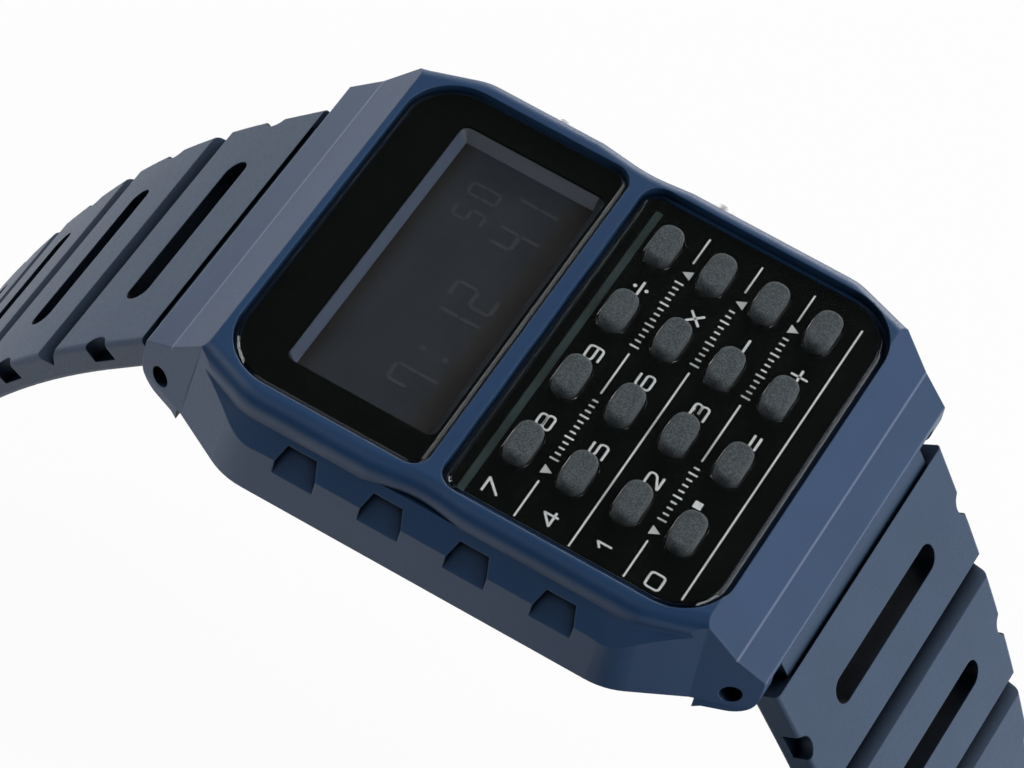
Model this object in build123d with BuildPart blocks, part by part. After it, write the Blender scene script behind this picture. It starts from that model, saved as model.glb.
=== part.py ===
from build123d import *
from math import acos, asin, atan2, cos, hypot, radians, sin, tan
import os

os.makedirs("parts", exist_ok=True)

# Driving dimensions in millimetres: X to 3 o'clock, Y to 12 o'clock, Z out of the dial
overrun = 6.0
fixed_gap = 0.1
slide_gap = 0.12
pivot_gap = 0.05

# Case body; insets count from side_x, setbacks from bar_y and drops from case_top_z
case_top_z = 8.1
crease_drop = 1.35
widest_z = 1.5
case_bottom_z = 0.3
side_x = 16.65
side_end_setback = 6.65
shoulder_inset = 2.5
shoulder_setback = 2.15
nose_inset = 4.24
nose_reach = 2.25
side_corner_r = 5.0
side_taper = 8
bottom_taper = 45
bezel_inset = 1.45
bezel_low_inset = 0.15
bezel_waist_inset = 0.5
bezel_waist_y = 1.5
bezel_waist_top_y = 5.0
bezel_corner_setback = 6.55
bezel_end_inset = 1.65
bezel_end_setback = 2.35
bezel_nose_inset = 1.9
bezel_waist_r = 9.0
bezel_corner_r = 4.0
bezel_edge_r = 1.1
bezel_skirt = 0.5
flank_angle = 33
top_flat_setback = 2.75
ridge_setback = 0.33
ridge_drop = 2.69
lip_rise = 1.46
lip_bottom_rise = 0.8
ear_root_setback = 1.85
ear_foot_setback = 1.35
belly_setback = 2.35

# Strap bars and their pockets between the ears
bar_y = 19.95
bar_z = 2.45
ear_r = 1.65
ear_w = 1.41
pocket_r = 1.65
bar_r = 0.78
bar_pivot_r = 0.62
bar_pivot_gap = 0.04
bar_reach = 1.0

# Grip notches on the flanks
notch_pitch = 5.95
notch_count = 4
notch_foot = 2.8
notch_head = 2.0
notch_height = 1.3
notch_depth = 0.45

# Front openings and the cavity behind them
seat_depth = 0.8
ledge_t = 0.8
ledge_w = 0.3
side_wall = 3.25
end_wall = 4.55
cavity_r = 4.0
display_low_y = 2.05
display_setback = 3.2
display_low_r = 1.3
display_high_r = 3.8
divider_w = 0.95
keypad_setback = 2.55
keypad_low_r = 3.8
keypad_high_r = 1.4

# Back plate, gasket and screws
back_t = 0.7
back_side_inset = 1.95
back_side_setback = 6.65
back_end_inset = 4.05
back_end_setback = 2.85
gasket_w = 0.4
gasket_t = 0.4
gasket_inset = 0.25
screw_inset = 1.65
screw_offset = 0.75
screw_shank_r = 0.42
screw_head_r = 0.8
screw_head_t = 0.35
screw_length = 2.2

# Display window
crystal_t = 0.2
crystal_drop = 0.15
crystal_rim_w = 0.3
crystal_bevel = 0.3
crystal_bevel_depth = 0.15
mask_t = 0.2
window_side_w = 2.65
window_low_w = 0.65
window_high_w = 3.75
window_slope = 34.5
window_corner_r = 0.6
frame_depth = 1.35
lcd_side_gap = 1.0
lcd_low_gap = 0.45
lcd_high_gap = 1.5
lcd_t = 1.4
zebra_inset = 1.4
zebra_w = 0.9
zebra_edge = 0.4

# Keypad
cover_drop = 0.25
cover_t = 0.15
cover_rim_w = 0.45
cover_bevel = 0.4
cover_bevel_depth = 0.3
key_columns = 4
key_rows = 4
key_left_margin = 5.46
key_right_margin = 4.035
key_high_margin = 3.13
key_low_margin = 4.129
key_length = 3.1
key_width = 1.75
key_corner_r = 0.8
key_proud = 0.7
key_edge_r = 0.3
key_flange_length = 3.9
key_flange_width = 2.1
key_flange_t = 0.5
key_plunger_r = 0.8
key_plunger_gap = 0.55
membrane_t = 0.3
membrane_side_gap = 1.4
membrane_low_gap = 1.0
membrane_high_gap = 0.3
membrane_corner_r = 3.0
dome_r = 0.9
dome_height = 0.5

# Module behind the dial
module_gap = 0.2
module_floor_z = 1.1
module_floor_t = 1.7
module_wall = 0.6
module_air = 0.05
board_t = 0.6
board_gap = 0.15
battery_inset = 3.2
battery_t = 1.6
battery_y = -3.0
battery_gap = 0.25
clip_t = 0.2
clip_w = 4.0
clip_overlap = 1.2
buzzer_r = 6.0
buzzer_t = 0.25
buzzer_y = 8.4
glob_r = 2.6
glob_height = 0.8
glob_x = -4.0
glob_y = 8.0
quartz_r = 0.85
quartz_length = 6.0
quartz_x = 5.0
quartz_y = 8.0

# Pushers on the 3 o'clock side
pusher_upper_y = 8.6
pusher_lower_y = -3.1
pusher_z = 4.3
pusher_head_r = 0.85
pusher_head_sink = 0.75
pusher_head_proud = 0.7
pusher_head_edge_r = 0.15
pusher_stem_r = 0.6
pusher_stem_reach = 0.5
pusher_bore_depth = 1.65
pusher_bore_r = 1.0
pusher_clip_r = 0.85
pusher_clip_t = 0.25
pusher_slot_half = 1.1

# Straps
strap_t = 2.2
strap_rise = 1.6
strap_side_over = 0.3
strap_end_inset = 2.3
strap_shoulder_s = 2.0
strap_tab_inset = 1.5
strap_tab_r = 1.35
strap_bore_r = 0.85
strap_edge_r = 0.35
floor_z = -54.7
upper_heading = 46.0
upper_straight = 6.5
upper_bend_r = 66.0
upper_bend_length = 17.5
upper_drop_r = 120.0
upper_loop_r = 1.9
lower_heading = 55.5
lower_straight = 6.0
lower_bend_r = 120.0
lower_bend_length = 21.0
lower_curl_r = 12.0
lower_tail_y = 15.5
slot_first_s = 6.6
slot_pitch = 10.2
slot_count = 4
slot_inset = 4.6
slot_width = 1.9
groove_first_s = 11.7
groove_width = 2.0
groove_depth = 1.0
dimple_r = 1.0
dimple_reach = 0.8
dimple_depth = 1.3
hole_first_s = 50.0
hole_pitch = 6.5
hole_count = 7
hole_r = 1.2

# Keeper and buckle
keeper_s = 50.5
keeper_w = 5.0
keeper_wall = 1.2
keeper_side_gap = 0.6
keeper_under_gap = 0.5
keeper_over_gap = 2.5
keeper_edge_r = 0.4
buckle_bar_r = 0.75
buckle_bar_gap = 0.03
buckle_side_gap = 0.3
buckle_side_w = 2.2
buckle_t = 2.0
buckle_ear_r = 1.25
buckle_length = 11.0
buckle_far_w = 2.0
buckle_corner_r = 2.0
buckle_edge_r = 0.4
prong_half_x = 0.9
prong_loop_r = 1.35
prong_t = 0.9
prong_slot_gap = 0.4
prong_slot_length = 5.0
prong_over = 0.9

# Heights and places that follow from the sizes above
crease_z = case_top_z - crease_drop
seat_z = case_top_z - seat_depth
cavity_top_z = seat_z - ledge_t
ridge_z = case_top_z - ridge_drop
lip_z = bar_z + lip_rise
lip_bottom_z = bar_z + lip_bottom_rise
side_end_y = bar_y - side_end_setback
shoulder_x = side_x - shoulder_inset
shoulder_y = bar_y - shoulder_setback
nose_x = side_x - nose_inset
nose_y = bar_y + nose_reach
bezel_side_x = side_x - bezel_inset
bezel_low_side_x = bezel_side_x - bezel_low_inset
bezel_waist_x = bezel_side_x - bezel_waist_inset
bezel_corner_y = bar_y - bezel_corner_setback
bezel_end_x = bezel_side_x - bezel_end_inset
bezel_end_y = bar_y - bezel_end_setback
bezel_nose_x = bezel_side_x - bezel_nose_inset
top_flat_y = bar_y - top_flat_setback
ridge_y = bar_y - ridge_setback
lip_y = bar_y + ear_r
ear_root_y = bar_y - ear_root_setback
ear_foot_y = bar_y - ear_foot_setback
belly_y = bar_y - belly_setback
pocket_half_x = nose_x - ear_w
bar_end_x = pocket_half_x + bar_reach
cavity_half_x = side_x - side_wall
cavity_half_y = bar_y - end_wall
cavity_ledge_y = cavity_half_y - fixed_gap
back_side_x = side_x - back_side_inset
back_side_y = bar_y - back_side_setback
back_end_x = side_x - back_end_inset
back_end_y = bar_y - back_end_setback
screw_x = cavity_half_x - screw_inset
screw_y = cavity_half_y + screw_offset
display_half_x = cavity_half_x + ledge_w
display_high_y = bar_y - display_setback
keypad_half_x = cavity_half_x + ledge_w + fixed_gap
keypad_high_y = display_low_y - divider_w
keypad_low_y = keypad_setback - bar_y
crystal_top_z = case_top_z - crystal_drop
mask_z = crystal_top_z - crystal_t - mask_t
frame_plug_z = case_top_z - frame_depth
window_half_x = display_half_x - window_side_w
window_low_y = display_low_y + window_low_w
window_high_y = display_high_y - window_high_w
lcd_z = frame_plug_z - lcd_t
lcd_half_x = cavity_half_x - lcd_side_gap
lcd_low_y = display_low_y + lcd_low_gap
lcd_high_y = cavity_half_y - lcd_high_gap
zebra_half_x = lcd_half_x - zebra_inset
module_half_x = cavity_half_x - module_gap
module_half_y = cavity_half_y - module_gap
module_top_z = lcd_z - module_air
board_z = module_floor_z + module_floor_t
board_top_z = board_z + board_t
battery_r = module_half_x - battery_inset
membrane_half_x = cavity_half_x - membrane_side_gap
membrane_low_y = membrane_low_gap - cavity_half_y
membrane_high_y = keypad_high_y - membrane_high_gap
keypad_cover_top_z = case_top_z - cover_drop
panel_top_z = keypad_cover_top_z - cover_t
flange_top_z = seat_z - fixed_gap
dome_top_z = board_top_z + membrane_t + dome_height
pusher_stem_in_x = cavity_half_x - pusher_stem_reach
pusher_bore_x = side_x - pusher_bore_depth
pusher_head_in_x = side_x - pusher_head_sink
pusher_head_out_x = side_x + pusher_head_proud
strap_half_x = pocket_half_x + strap_side_over
strap_end_half_x = strap_half_x - strap_end_inset
strap_tab_half_x = pocket_half_x - strap_tab_inset
slot_length = 2 * (strap_half_x - slot_inset)
key_first_x = key_left_margin - keypad_half_x
key_first_y = keypad_high_y - key_high_margin
key_pitch_x = (2 * keypad_half_x - key_left_margin - key_right_margin) / (key_columns - 1)
key_pitch_y = (key_first_y - keypad_low_y - key_low_margin) / (key_rows - 1)
key_names = ["seven", "eight", "nine", "divide", "four", "five", "six", "times",
             "one", "two", "three", "minus", "zero", "point", "equals", "plus"]
key_places = [(key_first_x + column * key_pitch_x, key_first_y - row * key_pitch_y)
              for row in range(key_rows) for column in range(key_columns)]


def all_quarters(points):
    upper = points + [(-x, y) for x, y in reversed(points)]
    return upper + [(-x, -y) for x, y in upper]


def both_sides(points):
    return points + [(-x, y) for x, y in reversed(points)]


def opening(half_x, low_y, high_y, low_r, high_r):
    with Locations((0, (low_y + high_y) / 2)):
        Rectangle(2 * half_x, high_y - low_y)
    fillet(vertices().group_by(Axis.Y)[0], radius=low_r)
    fillet(vertices().group_by(Axis.Y)[-1], radius=high_r)


# Bezel: upright walls, drawn in at the waist, with a rounded top edge
bezel_outline = [
    (bezel_nose_x, -nose_y), (bezel_end_x, -bezel_end_y), (bezel_low_side_x, -bezel_corner_y),
    (bezel_low_side_x, -bezel_waist_y), (bezel_waist_x, bezel_waist_y),
    (bezel_side_x, bezel_waist_top_y), (bezel_side_x, bezel_corner_y),
    (bezel_end_x, bezel_end_y), (bezel_nose_x, nose_y),
]
flank_outline = [(bezel_low_side_x, bezel_corner_y), (bezel_end_x, bezel_end_y), (bezel_nose_x, nose_y)]
with BuildPart() as bezel_form:
    with BuildSketch(Plane.XY.offset(crease_z - bezel_skirt)):
        with BuildLine():
            Polyline(*both_sides(bezel_outline), close=True)
        make_face()
        bezel_corners = vertices().filter_by(lambda v: abs(v.Y) < bezel_end_y + slide_gap)
        fillet(bezel_corners.filter_by(lambda v: abs(v.Y) > bezel_waist_top_y), radius=bezel_corner_r)
        fillet(
            vertices().filter_by(lambda v: abs(v.X) < bezel_waist_x + slide_gap and abs(v.Y) < bezel_waist_top_y),
            radius=bezel_waist_r,
        )
    extrude(amount=case_top_z - crease_z + bezel_skirt)
    fillet(faces().sort_by(Axis.Z)[-1].edges(), radius=bezel_edge_r)
    # flanks flaring out and down from a straight crease
    with BuildSketch(Plane.XY.offset(crease_z)):
        with BuildLine():
            Polyline(*all_quarters(flank_outline), close=True)
        make_face()
        fillet(vertices().filter_by(lambda v: abs(v.Y) < bezel_end_y + slide_gap), radius=bezel_corner_r)
    extrude(amount=crease_z - case_bottom_z + overrun / 2, dir=(0, 0, -1), taper=-flank_angle)

# Case: a drawn-in lower body under the bezel form, cut to its side profile
body_outline = [(side_x, side_end_y), (shoulder_x, shoulder_y), (nose_x, nose_y)]
with BuildPart() as case:
    with BuildSketch(Plane.XY.offset(widest_z)) as widest:
        with BuildLine():
            Polyline(*all_quarters(body_outline), close=True)
        make_face()
        fillet(vertices().filter_by(lambda v: abs(v.Y) < shoulder_y), radius=side_corner_r)
    extrude(amount=case_top_z - widest_z, taper=side_taper)
    extrude(widest.sketch, amount=widest_z - case_bottom_z, dir=(0, 0, -1), taper=bottom_taper)
    # ears at full width down to their round feet
    with BuildSketch(Plane.XY.offset(widest_z)):
        add(widest.sketch_local)
        Rectangle(2 * side_x, 2 * ear_root_y, mode=Mode.SUBTRACT)
    extrude(amount=widest_z - case_bottom_z, dir=(0, 0, -1))
    add(bezel_form.part, mode=Mode.INTERSECT)
    with BuildSketch(Plane.YZ):
        with BuildLine():
            Polyline(
                (0, case_bottom_z), (0, case_top_z), (top_flat_y, case_top_z), (ridge_y, ridge_z),
                (lip_y, lip_z), (lip_y, bar_z),
            )
            TangentArc((lip_y, bar_z), (bar_y, bar_z - ear_r), tangent=(0, -1))
            Polyline((bar_y, bar_z - ear_r), (ear_foot_y, bar_z - ear_r), (belly_y, case_bottom_z),
                     (0, case_bottom_z))
        make_face()
        mirror(about=Plane.YZ)
    extrude(amount=side_x, both=True, mode=Mode.INTERSECT)
    # strap pockets, round over the bar and open at the foot and the front
    with BuildSketch(Plane.YZ):
        with Locations((bar_y, bar_z), (-bar_y, bar_z)):
            Circle(pocket_r)
        with Locations((bar_y - pocket_r, bar_z), (bar_y, lip_bottom_z)):
            Rectangle(2 * overrun, 2 * overrun, align=(Align.MIN, Align.MAX))
        with Locations((-bar_y + pocket_r, bar_z), (-bar_y, lip_bottom_z)):
            Rectangle(2 * overrun, 2 * overrun, align=(Align.MAX, Align.MAX))
    extrude(amount=pocket_half_x, both=True, mode=Mode.SUBTRACT)
    # bar holes through the ears
    with BuildSketch(Plane.YZ):
        with Locations((bar_y, bar_z), (-bar_y, bar_z)):
            Circle(bar_pivot_r + bar_pivot_gap)
    extrude(amount=side_x, both=True, mode=Mode.SUBTRACT)
    # recess for the back plate, cavity and gasket groove
    with BuildSketch(Plane.XY.offset(back_t)):
        with BuildLine():
            Polyline(*all_quarters([(back_side_x, back_side_y), (back_end_x, back_end_y)]), close=True)
        make_face()
        offset(amount=fixed_gap, kind=Kind.INTERSECTION)
    extrude(amount=-overrun, mode=Mode.SUBTRACT)
    with BuildSketch(Plane.XY.offset(cavity_top_z)):
        RectangleRounded(2 * cavity_half_x, 2 * cavity_half_y, cavity_r)
    extrude(amount=-2 * overrun, mode=Mode.SUBTRACT)
    with BuildSketch(Plane.XY.offset(back_t)):
        RectangleRounded(
            2 * (cavity_half_x + gasket_inset + gasket_w), 2 * (cavity_half_y + gasket_inset + gasket_w),
            cavity_r + gasket_inset + gasket_w,
        )
        RectangleRounded(
            2 * (cavity_half_x + gasket_inset), 2 * (cavity_half_y + gasket_inset),
            cavity_r + gasket_inset, mode=Mode.SUBTRACT,
        )
    extrude(amount=gasket_t, mode=Mode.SUBTRACT)
    with BuildSketch(Plane.XY.offset(back_t)):
        with GridLocations(2 * screw_x, 2 * screw_y, 2, 2):
            Circle(screw_shank_r + pivot_gap)
    extrude(amount=screw_length + fixed_gap, mode=Mode.SUBTRACT)
    # front openings with a ledge each
    with BuildSketch(Plane.XY.offset(seat_z)):
        opening(display_half_x, display_low_y, display_high_y, display_low_r, display_high_r)
    extrude(amount=overrun, mode=Mode.SUBTRACT)
    with BuildSketch(Plane.XY.offset(cavity_top_z)):
        opening(display_half_x - ledge_w, display_low_y + ledge_w, cavity_ledge_y,
                display_low_r - ledge_w, display_high_r - ledge_w)
    extrude(amount=overrun, mode=Mode.SUBTRACT)
    with BuildSketch(Plane.XY.offset(seat_z)):
        opening(keypad_half_x, keypad_low_y, keypad_high_y, keypad_low_r, keypad_high_r)
    extrude(amount=overrun, mode=Mode.SUBTRACT)
    with BuildSketch(Plane.XY.offset(cavity_top_z)):
        opening(keypad_half_x - cover_rim_w, -cavity_ledge_y, keypad_high_y - cover_rim_w,
                keypad_low_r - cover_rim_w, keypad_high_r - cover_rim_w)
    extrude(amount=overrun, mode=Mode.SUBTRACT)
    # stepped pusher bores on the 3 o'clock side
    with BuildSketch(Plane.YZ.offset(cavity_half_x - overrun / 2)):
        with Locations((pusher_upper_y, pusher_z), (pusher_lower_y, pusher_z)):
            Circle(pusher_stem_r + pivot_gap)
    extrude(amount=overrun, mode=Mode.SUBTRACT)
    with BuildSketch(Plane.YZ.offset(pusher_bore_x)):
        with Locations((pusher_upper_y, pusher_z), (pusher_lower_y, pusher_z)):
            Circle(pusher_bore_r)
    extrude(amount=overrun, mode=Mode.SUBTRACT)
    # grip notches, sunk square to the flanks and open at their lower edge
    flank_drop = (side_x - (crease_z - widest_z) * tan(radians(side_taper)) - bezel_low_side_x) / (
        tan(radians(flank_angle)) - tan(radians(side_taper)))
    for side in (1, -1):
        flank_x = side * (bezel_low_side_x + flank_drop * tan(radians(flank_angle)))
        flank = Plane(
            origin=(flank_x, 0, crease_z - flank_drop), x_dir=(0, side, 0),
            z_dir=(side * cos(radians(flank_angle)), 0, sin(radians(flank_angle))),
        )
        with BuildSketch(flank.offset(-notch_depth)):
            with GridLocations(notch_pitch, notch_pitch, notch_count, 1):
                Polygon(
                    (-notch_foot / 2, 0), (-notch_head / 2, notch_height), (notch_head / 2, notch_height),
                    (notch_foot / 2, 0), (notch_foot / 2, -notch_height), (-notch_foot / 2, -notch_height),
                    align=None,
                )
        extrude(amount=overrun / 2, mode=Mode.SUBTRACT)
case.part.label = "case"
export_step(case.part, "parts/case.step")

# Case back: steel plate with countersunk screw seats
with BuildPart() as case_back:
    with BuildSketch():
        with BuildLine():
            Polyline(*all_quarters([(back_side_x, back_side_y), (back_end_x, back_end_y)]), close=True)
        make_face()
    extrude(amount=back_t)
    with Locations(Plane.XY * Rotation(X=180)):
        with GridLocations(2 * screw_x, 2 * screw_y, 2, 2):
            CounterBoreHole(
                radius=screw_shank_r + pivot_gap, counter_bore_radius=screw_head_r + pivot_gap,
                counter_bore_depth=screw_head_t, depth=back_t,
            )
case_back.part.label = "case_back"
export_step(case_back.part, "parts/case_back.step")

# Case back screws: four flat heads seated in the plate
with BuildPart() as case_back_screws:
    with BuildSketch():
        with GridLocations(2 * screw_x, 2 * screw_y, 2, 2):
            Circle(screw_head_r)
    extrude(amount=screw_head_t)
    with BuildSketch(Plane.XY.offset(screw_head_t)):
        with GridLocations(2 * screw_x, 2 * screw_y, 2, 2):
            Circle(screw_shank_r)
    extrude(amount=back_t - screw_head_t + screw_length)
case_back_screws.part.label = "case_back_screws"
export_step(case_back_screws.part, "parts/case_back_screws.step")

# Gasket ring in its groove behind the plate
with BuildPart() as back_gasket:
    with BuildSketch(Plane.XY.offset(back_t)):
        RectangleRounded(
            2 * (cavity_half_x + gasket_inset + gasket_w - pivot_gap),
            2 * (cavity_half_y + gasket_inset + gasket_w - pivot_gap),
            cavity_r + gasket_inset + gasket_w - pivot_gap,
        )
        RectangleRounded(
            2 * (cavity_half_x + gasket_inset + pivot_gap), 2 * (cavity_half_y + gasket_inset + pivot_gap),
            cavity_r + gasket_inset + pivot_gap, mode=Mode.SUBTRACT,
        )
    extrude(amount=gasket_t)
back_gasket.part.label = "back_gasket"
export_step(back_gasket.part, "parts/back_gasket.step")

# Module frame: floor with the battery opening, and a wall around
with BuildPart() as module_frame:
    with BuildSketch(Plane.XY.offset(module_floor_z)):
        RectangleRounded(2 * module_half_x, 2 * module_half_y, cavity_r - module_gap)
    extrude(amount=module_top_z - module_floor_z)
    with BuildSketch(Plane.XY.offset(board_z)):
        RectangleRounded(
            2 * (module_half_x - module_wall), 2 * (module_half_y - module_wall),
            cavity_r - module_gap - module_wall,
        )
    extrude(amount=overrun, mode=Mode.SUBTRACT)
    with BuildSketch(Plane.XY.offset(board_z)):
        with Locations((0, battery_y)):
            Circle(battery_r + battery_gap)
    extrude(amount=-overrun, mode=Mode.SUBTRACT)
    with BuildSketch(Plane.YZ):
        with Locations((pusher_upper_y, pusher_z), (pusher_lower_y, pusher_z)):
            Rectangle(2 * pusher_slot_half, 2 * pusher_slot_half)
    extrude(amount=side_x, mode=Mode.SUBTRACT)
module_frame.part.label = "module_frame"
export_step(module_frame.part, "parts/module_frame.step")

# Circuit board on the floor of the frame
with BuildPart() as circuit_board:
    with BuildSketch(Plane.XY.offset(board_z)):
        RectangleRounded(
            2 * (module_half_x - module_wall - board_gap), 2 * (module_half_y - module_wall - board_gap),
            cavity_r - module_gap - module_wall - board_gap,
        )
    extrude(amount=board_t)
circuit_board.part.label = "circuit_board"
export_step(circuit_board.part, "parts/circuit_board.step")

# Potted chip on the board
with BuildPart() as ic_glob:
    with BuildSketch(Plane.XY.offset(board_top_z)):
        with Locations((glob_x, glob_y)):
            Circle(glob_r)
    extrude(amount=glob_height)
    fillet(faces().sort_by(Axis.Z)[-1].edges(), radius=glob_height - fixed_gap)
ic_glob.part.label = "ic_glob"
export_step(ic_glob.part, "parts/ic_glob.step")

# Quartz can lying on the board
with BuildPart() as quartz_can:
    with BuildSketch(Plane.XZ.offset(-quartz_y - quartz_length / 2)):
        with Locations((quartz_x, board_top_z + quartz_r)):
            Circle(quartz_r)
    extrude(amount=quartz_length)
quartz_can.part.label = "quartz_can"
export_step(quartz_can.part, "parts/quartz_can.step")

# Coin cell in the frame's round opening
with BuildPart() as battery:
    with BuildSketch(Plane.XY.offset(module_floor_z)):
        with Locations((0, battery_y)):
            Circle(battery_r)
    extrude(amount=battery_t)
battery.part.label = "battery"
export_step(battery.part, "parts/battery.step")

# Spring clip across the coin cell
with BuildPart() as battery_clip:
    with BuildSketch(Plane.XY.offset(module_floor_z - clip_t)):
        with Locations((0, battery_y)):
            RectangleRounded(2 * (battery_r + battery_gap + clip_overlap), clip_w, clip_w / 4)
    extrude(amount=clip_t)
battery_clip.part.label = "battery_clip"
export_step(battery_clip.part, "parts/battery_clip.step")

# Piezo disc bonded to the back plate
with BuildPart() as buzzer:
    with BuildSketch(Plane.XY.offset(back_t)):
        with Locations((0, buzzer_y)):
            Circle(buzzer_r)
    extrude(amount=buzzer_t)
buzzer.part.label = "buzzer"
export_step(buzzer.part, "parts/buzzer.step")

# Contact strips between the board and the display panel
with BuildPart() as lcd_connectors:
    with BuildSketch(Plane.XY.offset(board_top_z)):
        with Locations((0, lcd_low_y + zebra_edge + zebra_w / 2), (0, lcd_high_y - zebra_edge - zebra_w / 2)):
            Rectangle(2 * zebra_half_x, zebra_w)
    extrude(amount=lcd_z - board_top_z)
lcd_connectors.part.label = "lcd_connectors"
export_step(lcd_connectors.part, "parts/lcd_connectors.step")

# Display panel
with BuildPart() as lcd_panel:
    with BuildSketch(Plane.XY.offset(lcd_z)):
        with Locations((0, (lcd_low_y + lcd_high_y) / 2)):
            Rectangle(2 * lcd_half_x, lcd_high_y - lcd_low_y)
    extrude(amount=lcd_t)
lcd_panel.part.label = "lcd_panel"
export_step(lcd_panel.part, "parts/lcd_panel.step")

# Display frame: a plug through the ledge, a flange under the mask and a sloped window
with BuildPart() as display_frame:
    with BuildSketch(Plane.XY.offset(frame_plug_z)):
        opening(display_half_x - ledge_w - fixed_gap, display_low_y + ledge_w + fixed_gap,
                cavity_ledge_y - fixed_gap, display_low_r - ledge_w - fixed_gap,
                display_high_r - ledge_w - fixed_gap)
    extrude(amount=mask_z - frame_plug_z)
    with BuildSketch(Plane.XY.offset(seat_z)):
        opening(display_half_x - ledge_w - 2 * fixed_gap, display_low_y + ledge_w + 2 * fixed_gap,
                display_high_y - ledge_w - 2 * fixed_gap, display_low_r - ledge_w - 2 * fixed_gap,
                display_high_r - ledge_w - 2 * fixed_gap)
    extrude(amount=mask_z - seat_z)
    with BuildSketch(Plane.XY.offset(mask_z)):
        with Locations((0, (window_low_y + window_high_y) / 2)):
            RectangleRounded(2 * window_half_x, window_high_y - window_low_y, window_corner_r)
    extrude(amount=mask_z - frame_plug_z, dir=(0, 0, -1), taper=window_slope, mode=Mode.SUBTRACT)
display_frame.part.label = "display_frame"
export_step(display_frame.part, "parts/display_frame.step")

# Black mask between the frame and the crystal
with BuildPart() as display_mask:
    with BuildSketch(Plane.XY.offset(mask_z)):
        opening(display_half_x - ledge_w - 2 * fixed_gap, display_low_y + ledge_w + 2 * fixed_gap,
                display_high_y - ledge_w - 2 * fixed_gap, display_low_r - ledge_w - 2 * fixed_gap,
                display_high_r - ledge_w - 2 * fixed_gap)
        with Locations((0, (window_low_y + window_high_y) / 2)):
            RectangleRounded(2 * window_half_x, window_high_y - window_low_y, window_corner_r,
                             mode=Mode.SUBTRACT)
    extrude(amount=mask_t)
display_mask.part.label = "display_mask"
export_step(display_mask.part, "parts/display_mask.step")

# Display crystal: a clear plate with a bevelled edge, standing on a thin rim
with BuildPart() as display_crystal:
    with BuildSketch(Plane.XY.offset(seat_z)):
        opening(display_half_x - fixed_gap, display_low_y + fixed_gap, display_high_y - fixed_gap,
                display_low_r - fixed_gap, display_high_r - fixed_gap)
    extrude(amount=crystal_top_z - seat_z)
    chamfer(faces().sort_by(Axis.Z)[-1].edges(), length=crystal_bevel_depth, length2=crystal_bevel)
    with BuildSketch(Plane.XY.offset(mask_z + mask_t)):
        opening(display_half_x - fixed_gap - crystal_rim_w, display_low_y + fixed_gap + crystal_rim_w,
                display_high_y - fixed_gap - crystal_rim_w, display_low_r - fixed_gap - crystal_rim_w,
                display_high_r - fixed_gap - crystal_rim_w)
    extrude(amount=-overrun, mode=Mode.SUBTRACT)
display_crystal.part.label = "display_crystal"
export_step(display_crystal.part, "parts/display_crystal.step")

# Keypad panel: black plate on the ledge, pierced for the keys
with BuildPart() as keypad_panel:
    with BuildSketch(Plane.XY.offset(seat_z)):
        opening(keypad_half_x - cover_rim_w - 2 * fixed_gap, keypad_low_y + cover_rim_w + 2 * fixed_gap,
                keypad_high_y - cover_rim_w - 2 * fixed_gap, keypad_low_r - cover_rim_w - 2 * fixed_gap,
                keypad_high_r - cover_rim_w - 2 * fixed_gap)
        with Locations(*key_places):
            RectangleRounded(key_length + 2 * slide_gap, key_width + 2 * slide_gap, key_corner_r + slide_gap,
                             mode=Mode.SUBTRACT)
    extrude(amount=panel_top_z - seat_z)
keypad_panel.part.label = "keypad_panel"
export_step(keypad_panel.part, "parts/keypad_panel.step")

# Keypad cover: a thin clear sheet with a bevelled rim around the panel
with BuildPart() as keypad_cover:
    with BuildSketch(Plane.XY.offset(seat_z)):
        opening(keypad_half_x - fixed_gap, keypad_low_y + fixed_gap, keypad_high_y - fixed_gap,
                keypad_low_r - fixed_gap, keypad_high_r - fixed_gap)
    extrude(amount=keypad_cover_top_z - seat_z)
    chamfer(faces().sort_by(Axis.Z)[-1].edges(), length=cover_bevel_depth, length2=cover_bevel)
    with BuildSketch(Plane.XY.offset(panel_top_z)):
        opening(keypad_half_x - cover_rim_w - fixed_gap, keypad_low_y + cover_rim_w + fixed_gap,
                keypad_high_y - cover_rim_w - fixed_gap, keypad_low_r - cover_rim_w - fixed_gap,
                keypad_high_r - cover_rim_w - fixed_gap)
    extrude(amount=-overrun, mode=Mode.SUBTRACT)
    with BuildSketch(Plane.XY.offset(panel_top_z)):
        with Locations(*key_places):
            RectangleRounded(key_length + 2 * slide_gap, key_width + 2 * slide_gap, key_corner_r + slide_gap)
    extrude(amount=overrun, mode=Mode.SUBTRACT)
keypad_cover.part.label = "keypad_cover"
export_step(keypad_cover.part, "parts/keypad_cover.step")

# Contact membrane with a dome under each key
with BuildPart() as key_membrane:
    with BuildSketch(Plane.XY.offset(board_top_z)):
        with Locations((0, (membrane_low_y + membrane_high_y) / 2)):
            RectangleRounded(2 * membrane_half_x, membrane_high_y - membrane_low_y, membrane_corner_r)
    extrude(amount=membrane_t)
    with BuildSketch(Plane.XY.offset(board_top_z + membrane_t)):
        with Locations(*key_places):
            Circle(dome_r)
    extrude(amount=dome_height, taper=bottom_taper)
key_membrane.part.label = "key_membrane"
export_step(key_membrane.part, "parts/key_membrane.step")

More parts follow.
